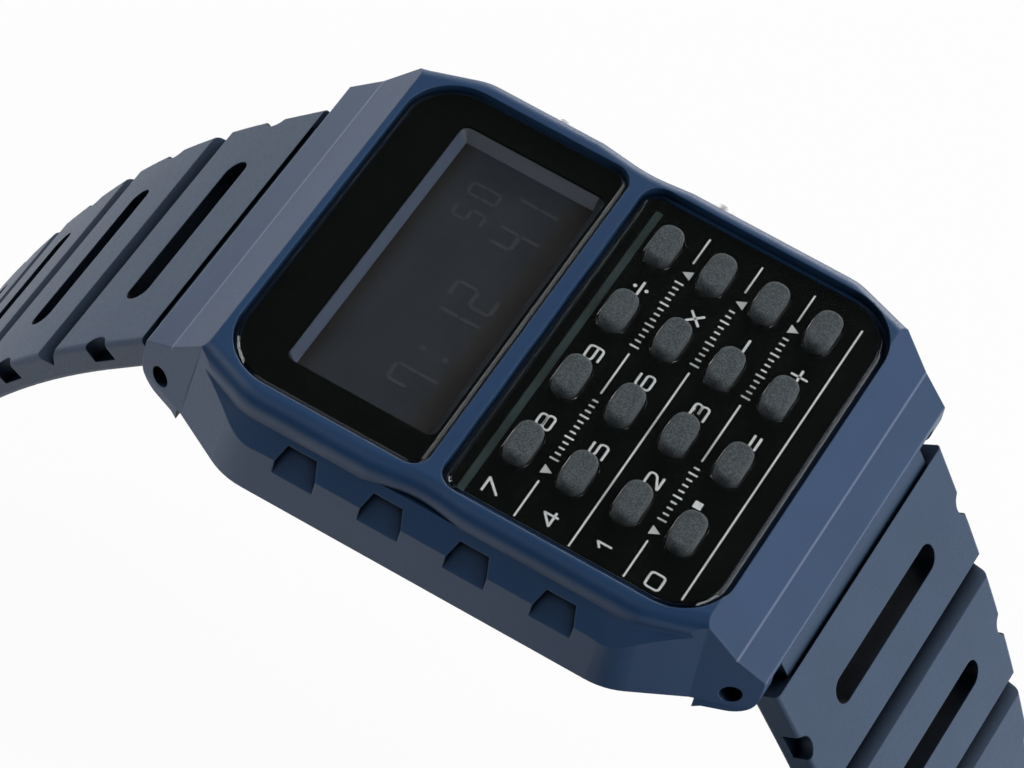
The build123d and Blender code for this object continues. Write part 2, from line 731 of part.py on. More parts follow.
# Keys: a rubber pill over a flange that stays under the panel, and a plunger to its dome
for key_name, place in zip(key_names, key_places):
    with BuildPart() as key:
        with BuildSketch(Plane.XY.offset(flange_top_z)):
            with Locations(place):
                RectangleRounded(key_length, key_width, key_corner_r)
        extrude(amount=keypad_cover_top_z + key_proud - flange_top_z)
        fillet(faces().sort_by(Axis.Z)[-1].edges(), radius=key_edge_r)
        with BuildSketch(Plane.XY.offset(flange_top_z)):
            with Locations(place):
                RectangleRounded(key_flange_length, key_flange_width, key_corner_r)
        extrude(amount=-key_flange_t)
        with BuildSketch(Plane.XY.offset(flange_top_z - key_flange_t)):
            with Locations(place):
                Circle(key_plunger_r)
        extrude(amount=-(flange_top_z - key_flange_t - dome_top_z - key_plunger_gap))
    key.part.label = "key_" + key_name
    export_step(key.part, "parts/key_" + key_name + ".step")

# Pushers, each with a retaining ring inside the case wall
for pusher_name, pusher_y in (("upper", pusher_upper_y), ("lower", pusher_lower_y)):
    with BuildPart() as pusher:
        with BuildSketch(Plane.YZ.offset(pusher_stem_in_x)):
            with Locations((pusher_y, pusher_z)):
                Circle(pusher_stem_r)
        extrude(amount=pusher_head_in_x - pusher_stem_in_x)
        with BuildSketch(Plane.YZ.offset(pusher_head_in_x)):
            with Locations((pusher_y, pusher_z)):
                Circle(pusher_head_r)
        extrude(amount=pusher_head_out_x - pusher_head_in_x)
        fillet(faces().sort_by(Axis.X)[-1].edges(), radius=pusher_head_edge_r)
    pusher.part.label = "pusher_" + pusher_name
    export_step(pusher.part, "parts/pusher_" + pusher_name + ".step")
    with BuildPart() as pusher_clip:
        with BuildSketch(Plane.YZ.offset(cavity_half_x - pivot_gap)):
            with Locations((pusher_y, pusher_z)):
                Circle(pusher_clip_r)
                Circle(pusher_stem_r, mode=Mode.SUBTRACT)
        extrude(amount=-pusher_clip_t)
    pusher_clip.part.label = "pusher_clip_" + pusher_name
    export_step(pusher_clip.part, "parts/pusher_clip_" + pusher_name + ".step")

# Spring bars between the ears
for bar_name, side in (("upper", 1), ("lower", -1)):
    with BuildPart() as spring_bar:
        with BuildSketch(Plane.YZ):
            with Locations((side * bar_y, bar_z)):
                Circle(bar_r)
        extrude(amount=pocket_half_x - fixed_gap, both=True)
        with BuildSketch(Plane.YZ):
            with Locations((side * bar_y, bar_z)):
                Circle(bar_pivot_r)
        extrude(amount=bar_end_x, both=True)
    spring_bar.part.label = "spring_bar_" + bar_name
    export_step(spring_bar.part, "parts/spring_bar_" + bar_name + ".step")


# A strap's outer face as straight and bent lengths: outward distance, height and heading at s
def strap_frame(heading, lengths, s):
    angle = radians(heading)
    out = bar_y + strap_rise * sin(angle)
    z = bar_z + strap_rise * cos(angle)
    for length, radius in lengths:
        step = min(max(s, 0), length)
        if radius:
            turn = step / radius
            out += radius * (sin(angle + turn) - sin(angle))
            z -= radius * (cos(angle) - cos(angle + turn))
            angle += turn
        else:
            out += step * cos(angle)
            z -= step * sin(angle)
        s -= step
    return out, z, angle


def strap_point(strap, s, depth):
    out, z, angle = strap_frame(strap["heading"], strap["lengths"], s)
    return strap["side"] * (out - depth * sin(angle)), z - depth * cos(angle)


def strap_plane(strap, s):
    out, z, angle = strap_frame(strap["heading"], strap["lengths"], s)
    return Plane(
        origin=(0, strap["side"] * out, z),
        x_dir=(1, 0, 0),
        z_dir=(0, strap["side"] * sin(angle), cos(angle)),
    )


def strap_half_width(strap, z):
    share = (bar_z - z) / (bar_z - strap["taper_z"])
    return strap_half_x - (strap_half_x - strap_end_half_x) * min(max(share, 0), 1)


def strap_outline(strap, first_part, last_part):
    marks = [strap_shoulder_s]
    for length, radius in strap["lengths"]:
        marks.append(marks[-1] + length if len(marks) > 1 else length)
    for depth in (0, strap_t):
        for index in range(first_part, last_part):
            start, end = marks[index], marks[index + 1]
            if strap["lengths"][index][1]:
                ThreePointArc(strap_point(strap, start, depth), strap_point(strap, (start + end) / 2, depth),
                              strap_point(strap, end, depth))
            else:
                Line(strap_point(strap, start, depth), strap_point(strap, end, depth))
    Line(strap_point(strap, marks[first_part], 0), strap_point(strap, marks[first_part], strap_t))
    Line(strap_point(strap, marks[last_part], 0), strap_point(strap, marks[last_part], strap_t))


# The upper strap bends twice, until its end loop stands on the floor
upper_turned = radians(upper_heading) + upper_bend_length / upper_bend_r
upper_bent_z = strap_frame(upper_heading, [(upper_straight, 0), (upper_bend_length, upper_bend_r)],
                           upper_straight + upper_bend_length)[1]
upper_fall = upper_bent_z - strap_rise * cos(upper_turned) - floor_z - upper_loop_r
upper_turn = acos(cos(upper_turned) - upper_fall / (upper_drop_r - strap_rise)) - upper_turned
upper_drop_length = upper_turn * upper_drop_r
upper = {
    "side": 1, "heading": upper_heading,
    "lengths": [(upper_straight, 0), (upper_bend_length, upper_bend_r), (upper_drop_length, upper_drop_r)],
    "drop_parts": 3, "taper_z": floor_z + 2 * strap_t,
}
upper_end_s = upper_straight + upper_bend_length + upper_drop_length

# The lower strap bends, runs straight, curls in and lies flat on the floor
lower_turned = radians(lower_heading) + lower_bend_length / lower_bend_r
lower_bent_z = strap_frame(lower_heading, [(lower_straight, 0), (lower_bend_length, lower_bend_r)],
                           lower_straight + lower_bend_length)[1]
lower_run = (lower_bent_z - floor_z - lower_curl_r * (1 + cos(lower_turned))) / sin(lower_turned)
lower_curl = lower_curl_r * (radians(180) - lower_turned)
lower_lengths = [
    (lower_straight, 0), (lower_bend_length, lower_bend_r), (lower_run, 0), (lower_curl, lower_curl_r),
]
lower_curl_s = lower_straight + lower_bend_length + lower_run + lower_curl
lower_curl_out = strap_frame(lower_heading, lower_lengths, lower_curl_s)[0]
lower_tail = lower_curl_out - lower_tail_y
lower_run_s = lower_curl_s - lower_curl
lower = {
    "side": -1, "heading": lower_heading, "lengths": lower_lengths + [(lower_tail, 0)], "drop_parts": 3,
}
lower["taper_z"] = strap_point(lower, lower_run_s, strap_t)[1]
strap_reach = bar_y + lower_run_s


# The lower strap's curl and rounded tail
with BuildPart() as curl_form:
    with BuildSketch(Plane.YZ):
        with BuildLine():
            strap_outline(lower, lower["drop_parts"], len(lower["lengths"]))
        make_face()
    extrude(amount=strap_end_half_x, both=True)
    with BuildSketch(Plane.XY.offset(floor_z)):
        with Locations((0, -lower_tail_y)):
            Circle(strap_end_half_x)
    extrude(amount=strap_t)
    fillet(
        edges().filter_by(lambda e: abs(e.tangent_at(0.5).X) < 0.5 and abs(e.center().X) > hole_r
                          and e.length > 2 * strap_t),
        radius=strap_edge_r,
    )

# Both straps, with tab, slots, grooves and edge dimples
for strap_name, strap in (("upper", upper), ("lower", lower)):
    with BuildPart() as strap_part:
        with BuildSketch(Plane.YZ):
            with BuildLine():
                strap_outline(strap, 0, strap["drop_parts"])
            make_face()
        extrude(amount=strap_half_x, both=True)
        # the width narrows evenly with the drop
        with BuildSketch(Plane.XZ):
            with BuildLine():
                Polyline(*both_sides([
                    (strap_half_x, bar_z + overrun), (strap_half_x, bar_z),
                    (strap_end_half_x, strap["taper_z"]), (strap_end_half_x, floor_z - overrun),
                ]), close=True)
            make_face()
        extrude(amount=-strap_reach * strap["side"], mode=Mode.INTERSECT)
        fillet(
            edges().filter_by(lambda e: e.length > strap_half_x / 2 and abs(e.center().X) > strap_tab_half_x / 2
                              and abs(e.tangent_at(0.5).X) < 0.5 and e.center().Z > floor_z + 2 * strap_t),
            radius=strap_edge_r,
        )
        if strap_name == "lower":
            add(curl_form.part)
        # slots through, grooves across and dimples at both edges
        for index in range(slot_count):
            across = strap_plane(strap, slot_first_s + index * slot_pitch)
            half_width = strap_half_width(strap, across.origin.Z)
            with BuildSketch(across):
                SlotOverall(slot_length, slot_width)
            extrude(amount=strap_t + slide_gap, both=True, mode=Mode.SUBTRACT)
            with BuildSketch(across):
                with Locations((half_width - dimple_reach + dimple_r, 0), (dimple_reach - dimple_r - half_width, 0)):
                    Circle(dimple_r)
            extrude(amount=-dimple_depth, mode=Mode.SUBTRACT)
            s = groove_first_s + index * slot_pitch
            with BuildSketch(Plane.YZ):
                with BuildLine():
                    Polyline(strap_point(strap, s - groove_width / 2, -slide_gap / 2),
                             strap_point(strap, s, groove_depth),
                             strap_point(strap, s + groove_width / 2, -slide_gap / 2), close=True)
                make_face()
            extrude(amount=strap_half_x, both=True, mode=Mode.SUBTRACT)
        # tab around the spring bar
        with BuildSketch(Plane.YZ):
            with Locations((strap["side"] * bar_y, bar_z)):
                Circle(strap_tab_r)
            with BuildLine():
                Polyline(strap_point(strap, 0, strap_rise - strap_tab_r),
                         strap_point(strap, strap_shoulder_s, strap_rise - strap_tab_r),
                         strap_point(strap, strap_shoulder_s, strap_t),
                         strap_point(strap, 0, strap_rise + strap_tab_r), close=True)
            make_face()
        extrude(amount=strap_tab_half_x, both=True)
        with BuildSketch(Plane.YZ):
            with Locations((strap["side"] * bar_y, bar_z)):
                Circle(strap_bore_r)
        extrude(amount=strap_half_x, both=True, mode=Mode.SUBTRACT)
        if strap_name == "upper":
            loop_y, loop_z = strap_point(strap, upper_end_s, strap_rise)
            with BuildSketch(Plane.YZ):
                with Locations((loop_y, loop_z)):
                    Circle(upper_loop_r)
            extrude(amount=strap_end_half_x, both=True)
            with BuildSketch(Plane.YZ):
                with Locations((loop_y, loop_z)):
                    Circle(buckle_bar_r + buckle_bar_gap)
            extrude(amount=strap_half_x, both=True, mode=Mode.SUBTRACT)
            with BuildSketch(Plane.YZ):
                with Locations((loop_y, loop_z + prong_slot_length)):
                    Rectangle(2 * overrun, 2 * overrun, align=(Align.CENTER, Align.MAX))
            extrude(amount=prong_half_x + prong_slot_gap, both=True, mode=Mode.SUBTRACT)
        else:
            for index in range(hole_count):
                with BuildSketch(strap_plane(strap, hole_first_s + index * hole_pitch)):
                    Circle(hole_r)
                extrude(amount=strap_t + slide_gap, both=True, mode=Mode.SUBTRACT)
    strap_part.part.label = "strap_" + strap_name
    export_step(strap_part.part, "parts/strap_" + strap_name + ".step")

# Keeper: a loop around the upper strap, with room for the tail
keeper_plane = strap_plane(upper, keeper_s)
keeper_half_x = strap_half_width(upper, keeper_plane.origin.Z) + keeper_side_gap
with BuildPart() as keeper:
    with BuildSketch(Plane(origin=keeper_plane.origin, x_dir=(1, 0, 0), z_dir=keeper_plane.y_dir)):
        with Locations((0, (strap_t + keeper_under_gap - keeper_over_gap) / 2)):
            RectangleRounded(
                2 * (keeper_half_x + keeper_wall),
                strap_t + keeper_under_gap + keeper_over_gap + 2 * keeper_wall, keeper_wall)
            RectangleRounded(
                2 * keeper_half_x, strap_t + keeper_under_gap + keeper_over_gap, keeper_edge_r,
                mode=Mode.SUBTRACT)
    extrude(amount=keeper_w / 2, both=True)
keeper.part.label = "keeper"
export_step(keeper.part, "parts/keeper.step")

# Buckle bar in the strap's end loop
bar_place = Plane.YZ.shift_origin((0, loop_y, loop_z))
buckle_half_x = strap_end_half_x + buckle_side_gap
with BuildPart() as buckle_bar:
    with BuildSketch(bar_place):
        Circle(buckle_bar_r)
    extrude(amount=buckle_half_x + buckle_side_w - fixed_gap, both=True)
buckle_bar.part.label = "buckle_bar"
export_step(buckle_bar.part, "parts/buckle_bar.step")

# Buckle frame: two arms and a far bar, folded out with the far bar on the floor
buckle_drop = asin(upper_loop_r / hypot(buckle_length, buckle_t / 2)) - atan2(buckle_t / 2, buckle_length)
buckle_place = Plane(
    origin=(0, loop_y, loop_z), x_dir=(1, 0, 0), z_dir=(0, sin(buckle_drop), cos(buckle_drop)),
)
with BuildPart() as buckle_frame:
    with BuildSketch(buckle_place.offset(-buckle_t / 2)):
        Rectangle(2 * (buckle_half_x + buckle_side_w), buckle_length, align=(Align.CENTER, Align.MIN))
        fillet(vertices().group_by(Axis.Y)[-1], radius=buckle_corner_r)
        with Locations((0, buckle_length - buckle_far_w)):
            Rectangle(2 * buckle_half_x, 2 * buckle_length, align=(Align.CENTER, Align.MAX), mode=Mode.SUBTRACT)
    extrude(amount=buckle_t)
    fillet(edges().filter_by(buckle_place), radius=buckle_edge_r)
    for side in (1, -1):
        with BuildSketch(bar_place.offset(side * buckle_half_x)):
            Circle(buckle_ear_r)
        extrude(amount=side * buckle_side_w)
    with BuildSketch(bar_place):
        Circle(buckle_bar_r + pivot_gap)
    extrude(amount=buckle_half_x + buckle_side_w + overrun, both=True, mode=Mode.SUBTRACT)
buckle_frame.part.label = "buckle_frame"
export_step(buckle_frame.part, "parts/buckle_frame.step")

# Buckle prong: a loop on the bar and a tongue lying on the far bar
prong_side = Plane(origin=(0, loop_y, loop_z), x_dir=buckle_place.y_dir, z_dir=(1, 0, 0))
prong_rest = buckle_t / 2 + pivot_gap
with BuildPart() as buckle_prong:
    with BuildSketch(prong_side):
        Circle(prong_loop_r)
        with BuildLine():
            Polyline(
                (0, prong_loop_r - prong_t), (buckle_length - buckle_far_w, prong_rest),
                (buckle_length + prong_over, prong_rest), (buckle_length + prong_over, prong_rest + prong_t),
                (buckle_length - buckle_far_w, prong_rest + prong_t), (0, prong_loop_r), close=True,
            )
        make_face()
        Circle(buckle_bar_r + pivot_gap, mode=Mode.SUBTRACT)
    extrude(amount=prong_half_x, both=True)
buckle_prong.part.label = "buckle_prong"
export_step(buckle_prong.part, "parts/buckle_prong.step")
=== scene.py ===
# %% [markdown]
# # A calculator watch, dressed for its picture
# The watch arrives as finished solids in real size: a resin case, sixteen rubber keys, two clear
# covers, a steel back and a strap in two lengths. This lesson gives each of them the finish of the
# real thing, prints the dial, adds the small work that solids leave out, and builds a plain studio.
# Everything is in metres and already in its place, so the first step only loads it.

# %% Load the watch
import bpy
from math import copysign, cos, radians, sin
from mathutils import Matrix, Vector


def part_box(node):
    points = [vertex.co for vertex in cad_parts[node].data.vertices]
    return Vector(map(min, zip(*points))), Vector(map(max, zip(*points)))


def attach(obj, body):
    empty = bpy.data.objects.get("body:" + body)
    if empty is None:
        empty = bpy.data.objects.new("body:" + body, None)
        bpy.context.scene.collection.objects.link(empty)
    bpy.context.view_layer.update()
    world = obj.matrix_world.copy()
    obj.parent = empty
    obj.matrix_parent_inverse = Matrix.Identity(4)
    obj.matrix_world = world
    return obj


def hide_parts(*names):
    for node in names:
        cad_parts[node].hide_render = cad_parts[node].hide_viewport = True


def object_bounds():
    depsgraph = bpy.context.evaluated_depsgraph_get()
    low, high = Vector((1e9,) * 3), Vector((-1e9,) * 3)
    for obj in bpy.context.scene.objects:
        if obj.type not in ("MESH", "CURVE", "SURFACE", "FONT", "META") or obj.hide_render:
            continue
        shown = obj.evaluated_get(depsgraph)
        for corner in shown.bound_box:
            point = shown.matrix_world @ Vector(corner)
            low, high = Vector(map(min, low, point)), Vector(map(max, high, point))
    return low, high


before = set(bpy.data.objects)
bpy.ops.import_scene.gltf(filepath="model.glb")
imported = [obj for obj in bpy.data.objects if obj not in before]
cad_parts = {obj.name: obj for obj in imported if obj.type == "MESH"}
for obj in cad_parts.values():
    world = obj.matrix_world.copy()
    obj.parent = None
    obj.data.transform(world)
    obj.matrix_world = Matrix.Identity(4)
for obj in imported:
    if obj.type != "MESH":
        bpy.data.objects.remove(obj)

cad_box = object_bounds()
mm = 0.001
print("solids:", len(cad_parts), "from", cad_box[0], "to", cad_box[1])

# %% [markdown]
# ## The camera
# The picture was taken from the keypad's left, about 53 degrees above the dial, with a long lens.
# A camera can be turned with angles, but here its three axes are known, so they are written as the
# columns of a matrix: right, up and back. The long lens keeps parallel edges nearly parallel.

# %% Camera
eye_mm = (-168.09, -51.12, 237.11)
right, up, back = (0.4837, -0.8624, 0.1495), (0.6638, 0.4728, 0.5796), (-0.5705, -0.1811, 0.8011)
focal_px, picture_px, sensor_mm = 4748.05, 1024, 36

bpy.ops.object.select_all(action="DESELECT")
bpy.ops.object.camera_add()
camera = bpy.context.object
camera.name = "studio_camera"
turn = Matrix((right, up, back)).transposed().to_4x4()
camera.matrix_world = Matrix.Translation(Vector(eye_mm) * mm) @ turn
camera.data.sensor_width = sensor_mm
camera.data.lens = focal_px / picture_px * sensor_mm
camera.data.clip_start, camera.data.clip_end = 0.01, 20
bpy.context.scene.camera = camera
print("lens", round(camera.data.lens, 1), "mm")

# %% [markdown]
# ## Sums inside a finish
# A finish is a small web of nodes, and much of it is plain arithmetic: add two kinds of ray,
# multiply two masks, fade from one height to another. These helpers build such nodes, so that a
# recipe further down reads almost like sums on paper. Patterns are laid out in millimetres on the
# object's own coordinates, so a grain of 0.1 is a grain of 0.1 mm. A ramp runs from 0.3 to 0.7
# unless it is told otherwise, because that is the range in which nearly all of a noise lies.

# %% Sum helpers
def start_finish(name, metallic=0.0):
    material = bpy.data.materials.new(name)
    material.use_nodes = True
    tree = material.node_tree
    shader = tree.nodes["Principled BSDF"]
    shader.inputs["Metallic"].default_value = metallic
    return material, tree, shader


def millimetres(tree, stretch=(1, 1, 1)):
    place = tree.nodes.new("ShaderNodeTexCoord")
    layout = tree.nodes.new("ShaderNodeMapping")
    layout.inputs["Scale"].default_value = tuple(share / mm for share in stretch)
    tree.links.new(place.outputs["Object"], layout.inputs["Vector"])
    return layout.outputs["Vector"]


def axes(tree, where):
    parts = tree.nodes.new("ShaderNodeSeparateXYZ")
    tree.links.new(where, parts.inputs[0])
    return parts.outputs


def feed(tree, value, socket):
    if isinstance(value, bpy.types.NodeSocket):
        tree.links.new(value, socket)
    else:
        socket.default_value = value


def maths(tree, operation, first, second=0.0, clamp=False):
    node = tree.nodes.new("ShaderNodeMath")
    node.operation = operation
    node.use_clamp = clamp
    feed(tree, first, node.inputs[0])
    feed(tree, second, node.inputs[1])
    return node.outputs[0]


def between(tree, value, low, high, first=0.3, last=0.7):
    spread = tree.nodes.new("ShaderNodeMapRange")
    spread.inputs["From Min"].default_value = first
    spread.inputs["From Max"].default_value = last
    spread.inputs["To Min"].default_value = low
    spread.inputs["To Max"].default_value = high
    tree.links.new(value, spread.inputs["Value"])
    return spread.outputs["Result"]


print("helpers ready for sums and ramps")

# %% [markdown]
# Two more helpers mix: one mixes two colours, the other two whole shaders, and shows the result.

# %% Mixing helpers
def mixed(tree, share, first, second):
    mix = tree.nodes.new("ShaderNodeMix")
    mix.data_type = "RGBA"
    tree.links.new(share, mix.inputs[0])
    for colour, socket in ((first, mix.inputs[6]), (second, mix.inputs[7])):
        feed(tree, (*colour, 1) if isinstance(colour, tuple) else colour, socket)
    return mix.outputs[2]


def show_blend(tree, share, first, second):
    blend = tree.nodes.new("ShaderNodeMixShader")
    for wire, socket in zip((share, first, second), blend.inputs):
        tree.links.new(wire, socket)
    tree.links.new(blend.outputs["Shader"], tree.nodes["Material Output"].inputs["Surface"])


print("helpers ready for mixing")

# %% [markdown]
# ## The floor
# The real watch stands on a white table that shows no edge. One large plane does that. Its paint is
# diffuse white, so it catches the watch's shadow, and a share of plain white is mixed in for rays
# from the camera, in reflections and through the clear covers, which keeps the ground from turning
# grey. Beside the near side, toward 6 o'clock, paint and reflection are darker: there the table
# lies in the watch's shade.

# %% Floor
floor_side, floor_drop = 12, 0.02 * mm
white_share = 0.95
table_white, table_shaded = (0.82, 0.82, 0.82), (0.10, 0.11, 0.12)
shade_begins_x, shade_full_x = -8, -14
shade_begins_y, shade_full_y = 3, -14
shade_fades_y, shade_gone_y = -50, -90

bpy.ops.object.select_all(action="DESELECT")
bpy.ops.mesh.primitive_plane_add(size=floor_side, location=(0, 0, cad_box[0].z - floor_drop))
floor = bpy.context.object
floor.name = "floor"

floor_paint, tree, paint = start_finish("floor_white")
paint.inputs["Roughness"].default_value = 0.9
paint.inputs["Specular IOR Level"].default_value = 0.0
spot = axes(tree, millimetres(tree))
from_twelve = between(tree, spot["Y"], 0.0, 1.0, shade_begins_y, shade_full_y)
until_six = between(tree, spot["Y"], 0.0, 1.0, shade_gone_y, shade_fades_y)
beside = between(tree, spot["X"], 0.0, 1.0, shade_begins_x, shade_full_x)
shade = maths(tree, "MULTIPLY", maths(tree, "MULTIPLY", from_twelve, until_six), beside)
tree.links.new(mixed(tree, shade, table_white, table_shaded), paint.inputs["Base Color"])

glow = tree.nodes.new("ShaderNodeEmission")
rays = tree.nodes.new("ShaderNodeLightPath").outputs
seen = maths(tree, "ADD", rays["Is Camera Ray"], rays["Is Glossy Ray"])
seen = maths(tree, "ADD", seen, rays["Is Transmission Ray"], clamp=True)
kept = maths(tree, "SUBTRACT", 1.0, maths(tree, "MULTIPLY", shade, rays["Is Glossy Ray"]))
glow_share = maths(tree, "MULTIPLY", maths(tree, "MULTIPLY", seen, white_share), kept)
show_blend(tree, glow_share, paint.outputs["BSDF"], glow.outputs["Emission"])
floor.data.materials.append(floor_paint)
print("floor at", round(floor.location.z / mm, 2), "mm")

# %% [markdown]
# ## The light
# A glossy black dial mirrors whatever stands opposite the camera, so a watch is not lit from the
# front. Its soft boxes stand around the other sides: most light comes from 6 o'clock and from 3
# o'clock, some from behind the 12 o'clock end, and hardly any from the camera's side, which stays
# deep blue. The white floor lights the case from below. Each lamp is a disc, placed by its compass
# angle, which is 0 at 3 o'clock and 90 at 12 o'clock, and by its height angle.

# %% Lamps and room
lamp_distance = 0.75
lamp_target = Vector((0, 0, -0.01))


def soft_box(name, compass_deg, height_deg, watts, size=0.40):
    compass, height = radians(compass_deg), radians(height_deg)
    toward = Vector((cos(height) * cos(compass), cos(height) * sin(compass), sin(height)))
    bpy.ops.object.select_all(action="DESELECT")
    bpy.ops.object.light_add(type="AREA", location=lamp_target + toward * lamp_distance)
    lamp = bpy.context.object
    lamp.name = name
    lamp.data.shape = "DISK"
    lamp.data.size = size
    lamp.data.energy = watts
    lamp.rotation_mode = "QUATERNION"
    lamp.rotation_quaternion = toward.to_track_quat("Z", "Y")


soft_box("three_low", 0, 12, watts=2.6)
soft_box("six_low", 270, 12, watts=2.0)
soft_box("six_high", 270, 38, watts=1.9)
soft_box("four_high", 315, 38, watts=1.5, size=0.6)
soft_box("twelve_high", 90, 38, watts=2.2)
soft_box("one_low", 45, 12, watts=0.9)
soft_box("ten_high", 150, 65, watts=0.2)

room = bpy.data.worlds.new("studio_room")
bpy.context.scene.world = room
room.use_nodes = True
room.node_tree.nodes["Background"].inputs["Color"].default_value = (0.02, 0.02, 0.02, 1)

bpy.context.scene.view_settings.view_transform = "Standard"

# %% [markdown]
# ## Tools for the finishes
# Every finish is built from the same few nodes. Noise varies the colour and the roughness, a ramp
# turns its values into colours, and a bump gives the grain its relief. A photograph of the material
# would be quicker, but it would stretch on curved faces and has one fixed size.

# %% Pattern helpers
def noise(tree, where, per_mm, detail):
    texture = tree.nodes.new("ShaderNodeTexNoise")
    texture.inputs["Scale"].default_value = per_mm
    texture.inputs["Detail"].default_value = detail
    tree.links.new(where, texture.inputs["Vector"])
    return texture.outputs[0]


def colours(tree, value, stops):
    ramp = tree.nodes.new("ShaderNodeValToRGB")
    given = ramp.color_ramp.elements
    for index, (position, colour) in enumerate(stops):
        stop = given[index] if index < 2 else given.new(position)
        stop.position = position
        stop.color = (*colour, 1)
    tree.links.new(value, ramp.inputs["Fac"])
    return ramp.outputs["Color"]


def grain(tree, shader, height, depth_mm, under=None):
    bump = tree.nodes.new("ShaderNodeBump")
    bump.inputs["Distance"].default_value = depth_mm * mm
    tree.links.new(height, bump.inputs["Height"])
    if under is not None:
        tree.links.new(under, bump.inputs["Normal"])
    tree.links.new(bump.outputs["Normal"], shader.inputs["Normal"])


print("helpers ready for patterns")

# %% [markdown]
# A mould leaves every edge slightly round, and handling polishes it. The Bevel node bends the
# shading near an edge without touching the mesh. Where its normal differs from the true one there
# is an edge, and that difference paints a thin light line along the corner, in part wear and in
# part a painted highlight. The product of the two normals is 1 on a flat face and falls as they
# part.

# %% Soft edges, wear and painted highlight
flat_product, edge_product = 0.995, 0.86


def soft_edges(tree, radius_mm):
    edge = tree.nodes.new("ShaderNodeBevel")
    edge.samples = 4
    edge.inputs["Radius"].default_value = radius_mm * mm
    flat = tree.nodes.new("ShaderNodeNewGeometry")
    same = tree.nodes.new("ShaderNodeVectorMath")
    same.operation = "DOT_PRODUCT"
    tree.links.new(edge.outputs["Normal"], same.inputs[0])
    tree.links.new(flat.outputs["Normal"], same.inputs[1])
    # the lighter edge line is in part wear and in part a painted highlight
    worn_and_lit = between(tree, same.outputs["Value"], 1.0, 0.0, edge_product, flat_product)
    return edge.outputs["Normal"], worn_and_lit


print("edges are worn where the normals part")

# %% [markdown]
# Slots, grooves and notches are darker than the open faces, because little light finds its way in.
# The Ambient Occlusion node measures how closed in a point is, and one ramp turns that into shade.

# %% Shaded hollows
hollow_reach_mm = 4.0


def hollows(tree, open_share, closed_share):
    closed_in = tree.nodes.new("ShaderNodeAmbientOcclusion")
    closed_in.samples = 8
    closed_in.only_local = True
    closed_in.inputs["Distance"].default_value = hollow_reach_mm * mm
    return between(tree, closed_in.outputs["AO"], 1.0, 0.0, closed_share, open_share)


print("hollows are felt for over", hollow_reach_mm, "mm")

# %% [markdown]
# Two creases run along each hood. They are far finer than any edge worth cutting, so the light they
# catch is drawn instead, as thin pale lines: a painted highlight. A point is in the line where it
# lies close enough both to the crease's distance from the watch's middle, which is alike at both
# ends, and to its height.

# %% Crease highlights
sharp_across, gone_across = 0.03, 0.09
sharp_in_height, gone_in_height = 0.06, 0.16


def absolute(tree, value, less=0.0):
    return maths(tree, "ABSOLUTE", maths(tree, "SUBTRACT", value, less))


def crease_highlight(tree, where, y_mm, z_mm, strength):
    spot = axes(tree, where)
    from_y = absolute(tree, absolute(tree, spot["Y"]), y_mm)
    from_z = absolute(tree, spot["Z"], z_mm)
    across = between(tree, from_y, strength, 0.0, sharp_across, gone_across)
    in_height = between(tree, from_z, 1.0, 0.0, sharp_in_height, gone_in_height)
    return maths(tree, "MULTIPLY", across, in_height)


print("creases fade out over", gone_across, "mm")

# %% [markdown]
# ## Resin
# The case and the strap are injection moulded resin, dyed blue all through. The mould was spark
# eroded, which leaves a fine matt grain. The case is a clean, deep blue. The strap's grain is
# coarser and its colour a little greyer. In the hollows, colour and gloss are darkened as painted
# shade, and the edges get a lighter line, in part wear and in part a painted highlight.

# %% Resin finishes
crease_highlight_colour = (0.150, 0.190, 0.300)
hollow_shade_colour = (0.0006, 0.0030, 0.0075)
open_gloss, hollow_shade_gloss = 0.5, 0.03
# each painted crease highlight's distance from the middle, its height and its strength
hood_crease_highlights = ((19.62, 5.41, 0.75), (21.60, 3.91, 0.60))


def resin(name, deep, pale, worn_and_lit_colour, rough, grain_per_mm, grain_mm, edge_mm, open_share,
          closed_share, crease_highlights=()):
    material, tree, shader = start_finish(name)
    where = millimetres(tree)
    clouds = noise(tree, where, per_mm=0.25, detail=4)
    speck = noise(tree, where, grain_per_mm, detail=3)
    body = colours(tree, clouds, [(0.3, deep), (0.7, pale)])
    normal, worn_and_lit = soft_edges(tree, edge_mm)
    # a lighter line along the edges: in part wear, in part a painted highlight
    worn_and_lit_share = maths(tree, "MULTIPLY", worn_and_lit, between(tree, speck, 0.1, 0.6))
    surface = mixed(tree, worn_and_lit_share, body, worn_and_lit_colour)
    # pale lines painted along the hood creases: a painted highlight
    for y_mm, z_mm, strength in crease_highlights:
        surface = mixed(tree, crease_highlight(tree, where, y_mm, z_mm, strength), surface, crease_highlight_colour)
    # painted shade: hollows get a darker colour and less gloss
    shade = hollows(tree, open_share, closed_share)
    tree.links.new(mixed(tree, shade, surface, hollow_shade_colour), shader.inputs["Base Color"])
    gloss = between(tree, shade, open_gloss, hollow_shade_gloss, 0.0, 1.0)
    tree.links.new(gloss, shader.inputs["Specular IOR Level"])
    tree.links.new(between(tree, speck, rough - 0.05, rough + 0.07), shader.inputs["Roughness"])
    shader.inputs["IOR"].default_value = 1.5
    grain(tree, shader, speck, grain_mm, normal)
    return material


